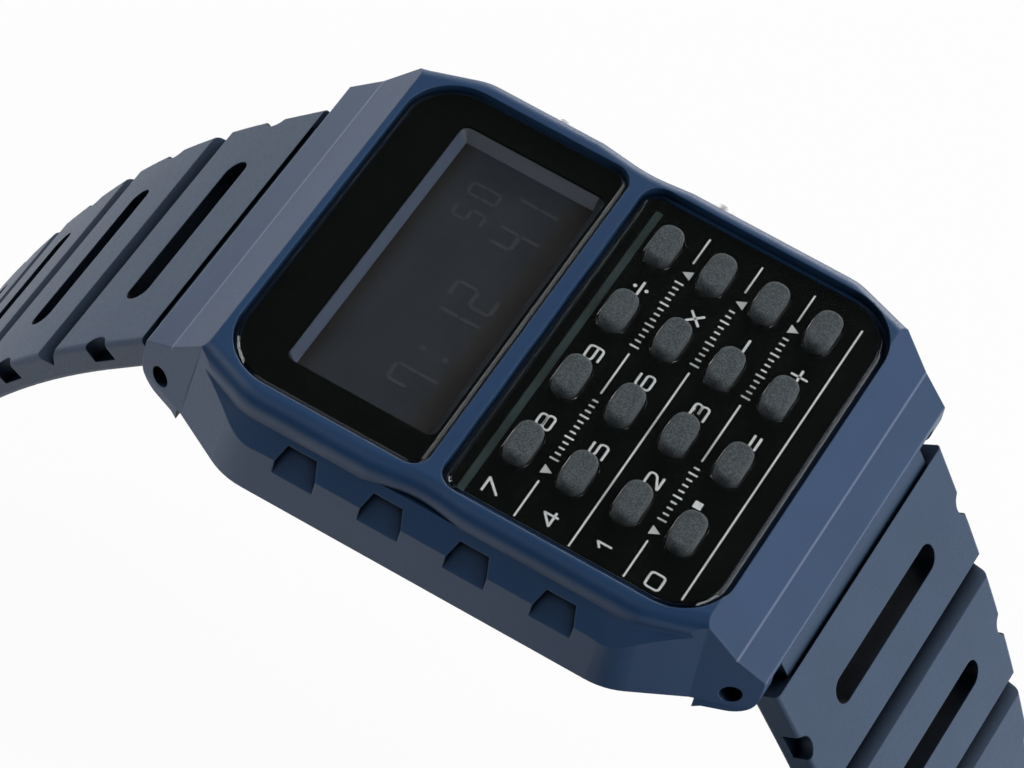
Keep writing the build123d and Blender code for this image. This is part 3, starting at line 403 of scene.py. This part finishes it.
case_resin = resin(
    "case_resin", deep=(0.0088, 0.0420, 0.1140), pale=(0.0104, 0.0480, 0.1300),
    worn_and_lit_colour=(0.036, 0.083, 0.175), rough=0.42, grain_per_mm=9.0, grain_mm=0.006, edge_mm=0.14,
    open_share=0.90, closed_share=0.55, crease_highlights=hood_crease_highlights)
strap_resin = resin(
    "strap_resin", deep=(0.0155, 0.0440, 0.0990), pale=(0.0185, 0.0510, 0.1110),
    worn_and_lit_colour=(0.045, 0.088, 0.165), rough=0.50, grain_per_mm=6.0, grain_mm=0.010, edge_mm=0.16,
    open_share=0.97, closed_share=0.66)
print("resin:", case_resin.name, strap_resin.name)

# %% [markdown]
# ## Rubber keys
# The keys are grey silicone rubber with a sandy top that keeps a fingertip from slipping. A fine
# noise, cut into light and dark grains by a colour ramp, gives both the specks and the relief. Their
# sides darken toward the plate, where the next keys and the cover take the light away.

# %% Rubber
plate_top = round(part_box("keypad_panel")[1].z / mm, 3)
foot_share, foot_begins, foot_ends = 0.85, plate_top + 0.05, plate_top + 0.45
key_edge_mm, key_rim_worn_and_lit, key_grain_mm = 0.12, 0.5, 0.030
key_stops = [(0.38, (0.018, 0.024, 0.027)), (0.50, (0.036, 0.048, 0.054)),
             (0.62, (0.070, 0.091, 0.100))]

key_rubber, tree, shader = start_finish("key_rubber")
where = millimetres(tree)
speck = noise(tree, where, per_mm=10.0, detail=4)
body = colours(tree, speck, key_stops)
normal, worn_and_lit = soft_edges(tree, key_edge_mm)
# the pale key rim is in part wear and in part a painted highlight
rim_worn_and_lit_share = maths(tree, "MULTIPLY", worn_and_lit, key_rim_worn_and_lit)
with_worn_and_lit_rim = mixed(tree, rim_worn_and_lit_share, body, (0.085, 0.098, 0.105))
foot = between(tree, axes(tree, where)["Z"], foot_share, 0.0, foot_begins, foot_ends)
tree.links.new(mixed(tree, foot, with_worn_and_lit_rim, (0.006, 0.008, 0.009)), shader.inputs["Base Color"])
tree.links.new(between(tree, speck, 0.62, 0.85), shader.inputs["Roughness"])
grain(tree, shader, speck, key_grain_mm, normal)
print("key plate's top at", plate_top, "mm")

# %% [markdown]
# ## Clear covers
# Glass and clear plastic need three things: transmission, a low roughness, and a way for lamp light
# to pass. A path tracer blocks lamp rays at glass, so a transparent shader is mixed in for shadow
# rays alone. A faint smear in the roughness stops the gloss from looking like a computer's.

# %% Clear finish
def clear(name, ior, haze):
    material, tree, shader = start_finish(name)
    shader.inputs["Base Color"].default_value = (0.97, 0.98, 0.98, 1)
    shader.inputs["Transmission Weight"].default_value = 1.0
    shader.inputs["IOR"].default_value = ior
    smear = noise(tree, millimetres(tree), per_mm=0.35, detail=3)
    tree.links.new(between(tree, smear, 0.5 * haze, haze), shader.inputs["Roughness"])
    rays = tree.nodes.new("ShaderNodeLightPath").outputs
    through = tree.nodes.new("ShaderNodeBsdfTransparent")
    show_blend(tree, rays["Is Shadow Ray"], shader.outputs["BSDF"], through.outputs["BSDF"])
    return material


clear_crystal = clear("clear_crystal", ior=1.45, haze=0.04)
clear_cover = clear("clear_cover", ior=1.45, haze=0.06)
print("clear:", clear_crystal.name, clear_cover.name)

# %% [markdown]
# ## Printed and painted parts
# Behind the covers lie a black printed mask, a black key plate and a blue-grey window frame. Screen
# ink is never dead flat: it has a fine tooth and a little unevenness, so each gets a noise.

# %% Painted finishes
def painted(name, dark, light, per_mm, depth_mm, rough=0.5, gloss=0.5):
    material, tree, shader = start_finish(name)
    shader.inputs["Specular IOR Level"].default_value = gloss
    tooth = noise(tree, millimetres(tree), per_mm, detail=3)
    tree.links.new(colours(tree, tooth, [(0.3, dark), (0.7, light)]), shader.inputs["Base Color"])
    tree.links.new(between(tree, tooth, rough - 0.06, rough + 0.06), shader.inputs["Roughness"])
    grain(tree, shader, tooth, depth_mm)
    return material


black_print = painted("black_print", (0.0004, 0.0009, 0.0008), (0.0010, 0.0016, 0.0015),
                      per_mm=6, depth_mm=0.003, gloss=0.02)
window_grey = painted("window_grey", (0.034, 0.046, 0.074), (0.042, 0.056, 0.088),
                      per_mm=8, depth_mm=0.004, gloss=0.2)
white_ink = painted("white_ink", (0.36, 0.37, 0.37), (0.46, 0.47, 0.47),
                    per_mm=14, depth_mm=0.004, gloss=0.1)
band_ink = painted("band_ink", (0.011, 0.019, 0.019), (0.018, 0.029, 0.028),
                   per_mm=10, depth_mm=0.003, gloss=0.1)
print("painted:", [m.name for m in (black_print, window_grey, white_ink, band_ink)])

# %% [markdown]
# Light falls unevenly on the four sloping walls of the window, and that is painted into their
# colour: the wall at 3 o'clock is painted pale as the lit one, and the walls at 6 and at 9 o'clock
# are painted nearly black as shade, below a thin grey lip. Places on the object pick the wall: a
# ramp rises past the lip and falls again at the wall's foot.

# %% Window walls with painted light and shade
window_nine_x, window_six_y, wall_mm = -11.05, 2.70, 0.58
three_wall_begins, three_wall_full = 10.40, 10.50
lit_wall_paint, shaded_wall_paint = (0.056, 0.064, 0.078), (0.005, 0.007, 0.009)
off, on = (0, 0, 0), (1, 1, 1)


def wall_share(tree, place, lip):
    along = between(tree, place, 0.0, 1.0, lip, lip + wall_mm)
    return colours(tree, along, [(0.10, off), (0.22, on), (0.96, on), (1.0, off)])


tree = window_grey.node_tree
shader = tree.nodes["Principled BSDF"]
spot = axes(tree, millimetres(tree))
# painted light: the wall at 3 o'clock is painted pale
lit_wall_at_three = between(tree, spot["X"], 0.0, 1.0, three_wall_begins, three_wall_full)
paint = shader.inputs["Base Color"].links[0].from_socket
paint = mixed(tree, lit_wall_at_three, paint, lit_wall_paint)
# painted shade: the walls at 6 and 9 o'clock are painted nearly black
paint = mixed(tree, wall_share(tree, spot["Y"], window_six_y), paint, shaded_wall_paint)
paint = mixed(tree, wall_share(tree, spot["X"], window_nine_x), paint, shaded_wall_paint)
tree.links.new(paint, shader.inputs["Base Color"])
print("window walls shaded,", wall_mm, "mm wide")

# %% [markdown]
# ## The liquid crystal panel
# Seen from the side the panel is dark blue-grey, and its digits are only a shade away from the
# ground. Along its border the panel is painted a little darker and browner, a painted shade that
# follows the distance from the panel's middle line, and a very fine grain takes the mirror shine
# off the glass.

# %% Display finish
lcd_low, lcd_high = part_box("lcd_panel")
lcd_middle_y = (lcd_low.y + lcd_high.y) / 2 / mm
border_shade_share, border_begins, border_full = 0.9, 3.0, 4.3

lcd_dark, tree, shader = start_finish("lcd_dark")
where = millimetres(tree)
away = absolute(tree, axes(tree, where)["Y"], lcd_middle_y)
cloud = noise(tree, where, per_mm=0.3, detail=2)
ground = colours(tree, cloud, [(0.3, (0.0118, 0.0142, 0.0180)), (0.7, (0.0140, 0.0168, 0.0210))])
# painted shade: darker, browner along the border of the panel
painted_border_shade = between(tree, away, 0.0, border_shade_share, border_begins, border_full)
tree.links.new(mixed(tree, painted_border_shade, ground, (0.0125, 0.0105, 0.0098)), shader.inputs["Base Color"])
tree.links.new(between(tree, cloud, 0.42, 0.52), shader.inputs["Roughness"])
shader.inputs["Specular IOR Level"].default_value = 0.1
grain(tree, shader, noise(tree, where, per_mm=12, detail=1), depth_mm=0.001)

lcd_segment = painted("lcd_segment", (0.0240, 0.0260, 0.0290), (0.0290, 0.0310, 0.0340),
                      per_mm=5, depth_mm=0.002, gloss=0.1)
print("panel's middle at y", round(lcd_middle_y, 2), "mm")

# %% [markdown]
# ## Steel
# The back plate is brushed in one direction, the buckle along its arms, and the pushers and bars
# are turned. Brushing is noise stretched along one axis: long thin streaks in roughness and height.
# The streak numbers say how fast the noise runs along X, Y and Z.

# %% Steel finishes
steel_edge_mm = 0.06


def brushed(name, colour, streak, rough, depth_mm):
    material, tree, shader = start_finish(name, metallic=1.0)
    lines = noise(tree, millimetres(tree, streak), per_mm=6.0, detail=3)
    dark = tuple(0.86 * c for c in colour)
    tree.links.new(colours(tree, lines, [(0.3, dark), (0.7, colour)]), shader.inputs["Base Color"])
    tree.links.new(between(tree, lines, rough - 0.08, rough + 0.12), shader.inputs["Roughness"])
    grain(tree, shader, lines, depth_mm, under=soft_edges(tree, steel_edge_mm)[0])
    return material


plate_steel = brushed("plate_steel", (0.60, 0.60, 0.59), (0.05, 2.0, 1.0), rough=0.30, depth_mm=0.004)
turned_steel = brushed("turned_steel", (0.64, 0.64, 0.63), (3.0, 0.4, 0.4), rough=0.24, depth_mm=0.002)
pusher_steel = brushed("pusher_steel", (0.90, 0.90, 0.89), (3.0, 0.4, 0.4), rough=0.50, depth_mm=0.002)
buckle_steel = brushed("buckle_steel", (0.62, 0.62, 0.61), (2.0, 0.06, 0.3), rough=0.30, depth_mm=0.004)
clip_steel = brushed("clip_steel", (0.58, 0.55, 0.45), (0.1, 2.5, 1.0), rough=0.32, depth_mm=0.003)
cell_steel = brushed("cell_steel", (0.66, 0.66, 0.65), (0.6, 0.6, 0.6), rough=0.26, depth_mm=0.003)
sounder_brass = brushed("sounder_brass", (0.68, 0.50, 0.22), (1.0, 1.0, 1.0), rough=0.34, depth_mm=0.003)
print("metals:", [m.name for m in bpy.data.materials if "steel" in m.name or "brass" in m.name])

# %% [markdown]
# ## Inside the case
# The module is out of sight until the watch is taken apart, but it is finished like the rest: a
# grey moulded frame, a black potting blob, a black gasket and a pale rubber membrane.

# %% Module finishes
module_plastic = painted("module_plastic", (0.20, 0.20, 0.19), (0.27, 0.27, 0.25),
                         per_mm=5, depth_mm=0.006)
glob_black = painted("glob_black", (0.006, 0.006, 0.006), (0.013, 0.012, 0.012),
                     per_mm=1.5, depth_mm=0.02, rough=0.3)
gasket_rubber = painted("gasket_rubber", (0.010, 0.010, 0.010), (0.022, 0.022, 0.022),
                        per_mm=9, depth_mm=0.01, rough=0.6)
membrane_rubber = painted("membrane_rubber", (0.42, 0.42, 0.40), (0.55, 0.55, 0.52),
                          per_mm=6, depth_mm=0.01, rough=0.6)
print("module:", [m.name for m in (module_plastic, glob_black, gasket_rubber, membrane_rubber)])

# %% [markdown]
# The board is green lacquer over copper tracks, so a brick pattern stands for them: its joints are
# the paler tracks. The zebra strips that lead from the board to the display are rubber with thin
# layers of carbon, which a wave pattern draws as black and pale stripes.

# %% Board and zebra strips
board_green, tree, shader = start_finish("board_green")
where = millimetres(tree)
tracks = tree.nodes.new("ShaderNodeTexBrick")
tracks.inputs["Scale"].default_value = 0.8
tracks.inputs["Color1"].default_value = (0.010, 0.085, 0.035, 1)
tracks.inputs["Color2"].default_value = (0.014, 0.105, 0.045, 1)
tracks.inputs["Mortar"].default_value = (0.030, 0.20, 0.080, 1)
tracks.inputs["Mortar Size"].default_value = 0.06
tree.links.new(where, tracks.inputs["Vector"])
tree.links.new(tracks.outputs["Color"], shader.inputs["Base Color"])
lacquer = noise(tree, where, per_mm=4, detail=2)
tree.links.new(between(tree, lacquer, 0.28, 0.42), shader.inputs["Roughness"])
grain(tree, shader, tracks.outputs["Fac"], depth_mm=0.02)

zebra_strip, tree, shader = start_finish("zebra_strip")
where = millimetres(tree)
stripes = tree.nodes.new("ShaderNodeTexWave")
stripes.inputs["Scale"].default_value = 1.2
stripes.inputs["Distortion"].default_value = 0.3
tree.links.new(where, stripes.inputs["Vector"])
carbon, pale_rubber = (0.012, 0.012, 0.012), (0.38, 0.36, 0.33)
layers = colours(tree, stripes.outputs["Fac"], [(0.45, carbon), (0.55, pale_rubber)])
tree.links.new(layers, shader.inputs["Base Color"])
tooth = noise(tree, where, per_mm=5, detail=2)
tree.links.new(between(tree, tooth, 0.5, 0.7), shader.inputs["Roughness"])
print("board and strips:", board_green.name, zebra_strip.name)

# %% [markdown]
# ## Handing the finishes out
# A solid keeps its mesh and only gets a new material in its slot. One table says which finish goes
# on which solid, and the keys, which are not in it, are rubber. A solid that is neither a key nor in
# the table stops the lesson here, so none is forgotten.

# %% Materials on the solids
finish_of = {
    "case": case_resin, "strap_upper": strap_resin, "strap_lower": strap_resin, "keeper": strap_resin,
    "case_back": plate_steel, "case_back_screws": turned_steel, "back_gasket": gasket_rubber,
    "display_crystal": clear_crystal, "keypad_cover": clear_cover, "display_mask": black_print,
    "keypad_panel": black_print, "display_frame": window_grey, "lcd_panel": lcd_dark,
    "lcd_connectors": zebra_strip, "module_frame": module_plastic, "circuit_board": board_green,
    "ic_glob": glob_black, "quartz_can": cell_steel, "battery": cell_steel, "battery_clip": clip_steel,
    "buzzer": sounder_brass, "key_membrane": membrane_rubber, "spring_bar_upper": turned_steel,
    "spring_bar_lower": turned_steel, "pusher_upper": pusher_steel, "pusher_lower": pusher_steel,
    "pusher_clip_upper": clip_steel, "pusher_clip_lower": clip_steel, "buckle_bar": turned_steel,
    "buckle_frame": buckle_steel, "buckle_prong": buckle_steel,
}
for name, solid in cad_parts.items():
    is_key = name.startswith("key_") and name not in finish_of
    solid.data.materials.clear()
    solid.data.materials.append(key_rubber if is_key else finish_of[name])
print("dressed", len(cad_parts), "solids with", len(set(finish_of.values())) + 1, "finishes")

# %% [markdown]
# ## The two clear covers, remade
# The solid covers lie face to face on the print beneath them, and two surfaces in the very same
# place flicker in a render. A copy of each cover is merged into one skin, its underside is lifted
# by two hundredths of a millimetre, and a small bevel rounds its rim so that it catches the light.
# Weighted normals then let the large flat faces win, or the shading of the rim would bend them.

# %% Covers with a hair of air
air_mm, rim_mm, merge_mm, same_level_mm = 0.02, 0.05, 0.001, 0.005


def lifted_cover(node, print_below, material, name):
    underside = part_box(print_below)[1].z
    cover = bpy.data.objects.new(name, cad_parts[node].data.copy())
    bpy.context.scene.collection.objects.link(cover)
    bpy.ops.object.select_all(action="DESELECT")
    cover.select_set(True)
    bpy.context.view_layer.objects.active = cover
    bpy.ops.object.mode_set(mode="EDIT")
    bpy.ops.mesh.select_all(action="SELECT")
    bpy.ops.mesh.remove_doubles(threshold=merge_mm * mm)
    bpy.ops.mesh.dissolve_limited(angle_limit=radians(1))
    bpy.ops.mesh.select_all(action="DESELECT")
    bpy.ops.object.mode_set(mode="OBJECT")
    for vertex in cover.data.vertices:
        vertex.select = abs(vertex.co.z - underside) < same_level_mm * mm
    lifted = sum(vertex.select for vertex in cover.data.vertices)
    bpy.ops.object.mode_set(mode="EDIT")
    bpy.ops.mesh.select_mode(type="VERT")
    bpy.ops.transform.translate(value=(0, 0, air_mm * mm))
    bpy.ops.object.mode_set(mode="OBJECT")
    rim = cover.modifiers.new("rim", "BEVEL")
    rim.width = rim_mm * mm
    rim.segments = 2
    rim.limit_method = "ANGLE"
    rim.angle_limit = radians(20)
    bpy.ops.object.modifier_apply(modifier="rim")
    bpy.ops.object.shade_smooth_by_angle(angle=radians(25))
    even = cover.modifiers.new("even", "WEIGHTED_NORMAL")
    even.keep_sharp = True
    even.weight = 100
    bpy.ops.object.modifier_apply(modifier="even")
    cover.data.materials.clear()
    cover.data.materials.append(material)
    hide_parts(node)
    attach(cover, "watch_case")
    print(name, "lifted", lifted, "corners,", len(cover.data.polygons), "faces")


lifted_cover("display_crystal", "display_mask", clear_crystal, "crystal")
lifted_cover("keypad_cover", "keypad_panel", clear_cover, "key_cover")

# %% [markdown]
# ## Printing on the key plate
# The figures are drawn in one even, squarish line, 1.1 mm tall. No font fits, so each is a pen path:
# a curve runs through its corners, a bevel gives the curve its width, and the mesh made from it is
# pressed flat. The corners are rounded first, by a short curve that starts a little before each.

# %% Pen
pen_mm, pressed_flat = 0.165, 0.06
ink_lift_mm, ink_mm = 0.005, 0.01
ink_z = plate_top + ink_lift_mm


def rounded(corners, radius, closed):
    corners = [Vector((*corner, 0)) for corner in corners]
    path = []
    for index, corner in enumerate(corners):
        if not closed and index in (0, len(corners) - 1):
            path.append(corner)
            continue
        before, after = corners[index - 1] - corner, corners[(index + 1) % len(corners)] - corner
        start = corner + before.normalized() * min(radius, before.length / 2)
        end = corner + after.normalized() * min(radius, after.length / 2)
        for step in range(6):
            share = step / 5
            path.append(start * (1 - share) ** 2 + corner * 2 * share * (1 - share) + end * share ** 2)
    return path


def penned(path, closed):
    bpy.ops.object.select_all(action="DESELECT")
    line = bpy.data.curves.new("pen_line", "CURVE")
    line.dimensions = "3D"
    line.bevel_depth = pen_mm / 2 * mm
    line.bevel_resolution = 1
    line.use_fill_caps = True
    run = line.splines.new("POLY")
    run.points.add(len(path) - 1)
    for point, place in zip(run.points, path):
        point.co = (*(place * mm), 1)
    run.use_cyclic_u = closed
    drawn = bpy.data.objects.new("pen_line", line)
    bpy.context.scene.collection.objects.link(drawn)
    drawn.select_set(True)
    bpy.context.view_layer.objects.active = drawn
    bpy.ops.object.convert(target="MESH")
    drawn = bpy.context.object
    flat = Matrix.Diagonal((1, 1, pressed_flat, 1))
    drawn.data.transform(Matrix.Translation((0, 0, ink_z * mm)) @ flat)
    return drawn


print("ink lies at", ink_z, "mm")

# %% [markdown]
# Each figure is written as the corners that the pen passes, in a square of one unit about its
# middle, and whether the line comes back to its start. The 3 and the 8 need two lines. Straight
# figures keep sharp corners, and the others are rounded. Every figure has its own measured place.

# %% Figures
figure_size = (1.12, 0.95)
sharp_mm, round_mm = 0.02, 0.26
pen_paths = {
    "0": [([(-0.5, -0.5), (0.5, -0.5), (0.5, 0.5), (-0.5, 0.5)], True)],
    "1": [([(-0.26, 0.2), (0.1, 0.5), (0.1, -0.5)], False)],
    "2": [([(-0.5, 0.24), (-0.5, 0.5), (0.5, 0.5), (0.5, 0.02), (-0.5, -0.5), (0.5, -0.5)], False)],
    "3": [([(-0.45, 0.5), (0.5, 0.5), (0.5, 0.02), (-0.15, 0.02)], False),
          ([(-0.15, 0.02), (0.5, 0.02), (0.5, -0.5), (-0.5, -0.5)], False)],
    "4": [([(0.2, -0.5), (0.2, 0.5), (-0.5, -0.2), (0.5, -0.2)], False)],
    "5": [([(0.42, 0.5), (-0.42, 0.5), (-0.42, 0.08), (0.5, 0.08), (0.5, -0.5), (-0.5, -0.5)], False)],
    "6": [([(0.42, 0.5), (-0.5, 0.5), (-0.5, -0.5), (0.5, -0.5), (0.5, 0.06), (-0.5, 0.06)], False)],
    "7": [([(-0.5, 0.5), (0.5, 0.5), (-0.36, -0.5)], False)],
    "8": [([(-0.5, -0.5), (0.5, -0.5), (0.5, 0.02), (-0.5, 0.02)], True),
          ([(-0.42, 0.02), (0.42, 0.02), (0.42, 0.5), (-0.42, 0.5)], True)],
    "9": [([(0.5, -0.06), (-0.5, -0.06), (-0.5, 0.5), (0.5, 0.5), (0.5, -0.5), (-0.42, -0.5)], False)],
}
figure_places = {
    "7": (-12.04, -2.02), "8": (-5.99, -2.29), "9": (0.15, -2.29), "4": (-11.98, -5.92),
    "5": (-6.01, -5.97), "6": (0.15, -5.88), "1": (-11.85, -9.56), "2": (-6.04, -9.79),
    "3": (0.07, -9.71), "0": (-12.3, -13.26),
}
figures = []
for character, (middle_x, middle_y) in figure_places.items():
    radius = sharp_mm if character in "147" else round_mm
    for corners, closed in pen_paths[character]:
        corners = [(middle_x + figure_size[0] * x, middle_y + figure_size[1] * y) for x, y in corners]
        figures.append(penned(rounded(corners, radius, closed), closed))
print("pen strokes for the figures:", len(figures))

# %% [markdown]
# The signs, the point and the guide lines are plain strokes of ink. A stroke starts as a plane that
# is stretched to its length and extruded by the thickness of the ink; the dots start as a circle,
# and the triangles as a circle of three corners. The piece just added is the active one, so the
# extrusion acts on it, and its place then goes into its mesh.

# %% Stroke helpers
def raised():
    bpy.ops.object.mode_set(mode="EDIT")
    bpy.ops.mesh.extrude_region_move(TRANSFORM_OT_translate={"value": (0, 0, ink_mm * mm)})
    bpy.ops.object.mode_set(mode="OBJECT")
    return bpy.context.object


def placed(thing, x, y, z, turn_deg=0.0):
    spot = Matrix.Translation((x * mm, y * mm, z * mm))
    thing.data.transform(spot @ Matrix.Rotation(radians(turn_deg), 4, "Z"))
    return thing


def stroke(length, width, x, y, turn_deg=0.0):
    bpy.ops.object.select_all(action="DESELECT")
    bpy.ops.mesh.primitive_plane_add(size=1)
    bpy.ops.object.mode_set(mode="EDIT")
    bpy.ops.transform.resize(value=(length * mm, width * mm, 1))
    bpy.ops.object.mode_set(mode="OBJECT")
    return placed(raised(), x, y, ink_z, turn_deg)


def dot(radius, x, y, z=ink_z, corners=20, turn_deg=0.0):
    bpy.ops.object.select_all(action="DESELECT")
    bpy.ops.mesh.primitive_circle_add(vertices=corners, radius=radius * mm, fill_type="NGON")
    return placed(raised(), x, y, z, turn_deg)


print("strokes are", ink_mm, "mm thick")

# %% [markdown]
# Like the figures, the signs stand to the left of their keys: the four of arithmetic in the
# right-hand column, the equals sign and the point in the bottom row. A sign is one or two strokes,
# and the division sign has two dots as well.

# %% Signs
divide_x, divide_y = 6.24, -2.29
times_x, times_y = 6.18, -6.16
minus_x, minus_y = 6.18, -9.78
plus_x, plus_y = 6.03, -13.56
equals_x, equals_low_y, equals_high_y = 0.04, -13.78, -13.36
point_x, point_y, point_mm = -6.02, -12.84, 0.55
minus_mm, plus_mm, times_mm = 1.1, 1.15, 1.3
divide_dot_mm, divide_dot_apart = 0.13, 0.4

signs = [
    stroke(plus_mm, pen_mm, divide_x, divide_y),
    dot(divide_dot_mm, divide_x, divide_y + divide_dot_apart),
    dot(divide_dot_mm, divide_x, divide_y - divide_dot_apart),
    stroke(times_mm, pen_mm, times_x, times_y, 45),
    stroke(times_mm, pen_mm, times_x, times_y, -45),
    stroke(minus_mm, pen_mm, minus_x, minus_y),
    stroke(plus_mm, pen_mm, plus_x, plus_y),
    stroke(pen_mm, plus_mm, plus_x, plus_y),
    stroke(minus_mm, pen_mm, equals_x, equals_high_y),
    stroke(minus_mm, pen_mm, equals_x, equals_low_y),
    stroke(point_mm, point_mm, point_x, point_y),
]
print("strokes and dots in the signs:", len(signs))

# %% [markdown]
# Guide lines run across the plate between the rows of keys and below the last. Most of them leave
# gaps for the scales that follow, and small triangles beside those gaps point up or down.

# %% Guide lines and triangles
line_mm, triangle_mm = 0.12, 0.43
guide_lines = {
    -4.07: ((-13.1, -10.0), (-2.23, 1.44), (9.85, 12.18)),
    -7.80: ((-13.1, 2.33), (9.76, 12.18)),
    -11.53: ((-13.1, -9.99), (-3.06, 2.03), (9.70, 12.18)),
    -15.20: ((-12.55, 11.52),),
}
lines = []
for y, spans in guide_lines.items():
    for first, last in spans:
        lines.append(stroke(last - first, line_mm, (first + last) / 2, y))

triangles = []
for x, y, turn_deg in ((-9.09, -4.02, 180), (8.91, -4.25, 0), (8.85, -8.05, 0), (8.97, -11.56, 180),
                       (-9.18, -11.5, 180)):
    triangles.append(dot(triangle_mm, x, y, corners=3, turn_deg=turn_deg))
print("lines", len(lines), "triangles", len(triangles))

# %% [markdown]
# Between the guide lines the real plate names its functions. Words are left off this watch, so each
# of those gaps carries a neutral scale of upright ticks that keeps the rhythm of the print.

# %% Neutral ticks
tick_mm, tick_pitch, tall_mm, short_mm = 0.13, 0.48, 0.62, 0.4
# the height of each scale on the plate, its first and its last tick
scales = ((-4.06, -8.1, -2.9), (-4.06, 2.1, 8.0), (-7.80, 3.0, 8.0), (-11.53, -8.2, -3.7),
          (-11.53, 2.7, 8.1))
ticks = []
for y, first, last in scales:
    gaps = round((last - first) / tick_pitch)
    for index in range(gaps + 1):
        x = first + (last - first) * index / gaps
        ticks.append(stroke(tick_mm, tall_mm if index % 4 == 0 else short_mm, x, y))
print("ticks:", len(ticks))

# %% [markdown]
# All the print on the plate is one ink, so its strokes are joined into one piece. A dark green-grey
# band runs across the plate above the first row of keys, in an ink of its own.

# %% Key print and band
band_length, band_width, band_x, band_y = 25.4, 0.5, -0.55, -0.46


def joined(things):
    bpy.ops.object.select_all(action="DESELECT")
    for thing in things:
        thing.select_set(True)
    bpy.context.view_layer.objects.active = things[0]
    bpy.ops.object.join()
    return things[0]


def laid_in_ink(thing, name, material):
    thing.name = name
    thing.data.name = name
    thing.data.materials.clear()
    thing.data.materials.append(material)
    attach(thing, "watch_case")
    print(name, len(thing.data.polygons), "faces")


key_print = joined(figures + signs + lines + triangles + ticks)
laid_in_ink(key_print, "key_print", white_ink)
band = stroke(band_length, band_width, band_x, band_y)
laid_in_ink(band, "dial_band", band_ink)

# %% [markdown]
# ## Digits on the panel
# A seven-segment digit is one six-cornered bar used seven times. The bar is modelled once: a circle
# of six corners stands with a corner at each end, and its two halves are pulled apart to make it
# long. The letters name the places of the bars, clockwise from the top, with g in the middle, and
# each digit takes the bars that are switched on.

# %% Segments
segment_gap = 0.12
segment_places = {"a": (0, 1, 0), "b": (0.5, 0.5, 90), "c": (0.5, -0.5, 90), "d": (0, -1, 0),
                  "e": (-0.5, -0.5, 90), "f": (-0.5, 0.5, 90), "g": (0, 0, 0)}
lit = {"7": "abcf", "1": "bc", "2": "abged", "4": "fgbc", "5": "afgcd", "0": "abcdef"}
lcd_z = lcd_high.z / mm + ink_lift_mm


def segment_bar(length, width):
    bpy.ops.object.select_all(action="DESELECT")
    bpy.ops.mesh.primitive_circle_add(vertices=6, radius=width / 2 * mm, fill_type="NGON",
                                      rotation=(0, 0, radians(30)))
    bpy.ops.object.transform_apply(rotation=True)
    bar = raised()
    for vertex in bar.data.vertices:
        vertex.co.x += copysign((length - width) / 2 * mm, vertex.co.x)
    return bar


def digit(character, x, y, width, height, thick):
    bars = []
    for name in lit[character]:
        along, across, turn_deg = segment_places[name]
        length = width if turn_deg == 0 else height / 2
        bar = segment_bar(length - segment_gap, thick)
        bars.append(placed(bar, x + along * width, y + across * height / 2, lcd_z, turn_deg))
    return bars


print("digits lie at", round(lcd_z, 3), "mm")

# %% [markdown]
# The digits show 7:12 and 41 in a large size, and 50 in a small one above the 41. They lie flat on
# the panel, a hair above it, as the print does on its plate, and two round dots are the colon.

# %% Digits
large_y, small_y = 6.05, 9.5
colon_x, colon_ys, colon_mm = -4.93, (6.75, 5.15), 0.19
large_size = {"width": 1.35, "height": 2.9, "thick": 0.3}
small_size = {"width": 0.95, "height": 2.0, "thick": 0.24}

digits = []
for character, x in (("7", -7.4), ("1", -2.3), ("2", 0.15), ("4", 5.35), ("1", 7.9)):
    digits += digit(character, x, large_y, **large_size)
for character, x in (("5", 5.6), ("0", 7.6)):
    digits += digit(character, x, small_y, **small_size)
digits += [dot(colon_mm, colon_x, y, lcd_z) for y in colon_ys]
laid_in_ink(joined(digits), "time_digits", lcd_segment)
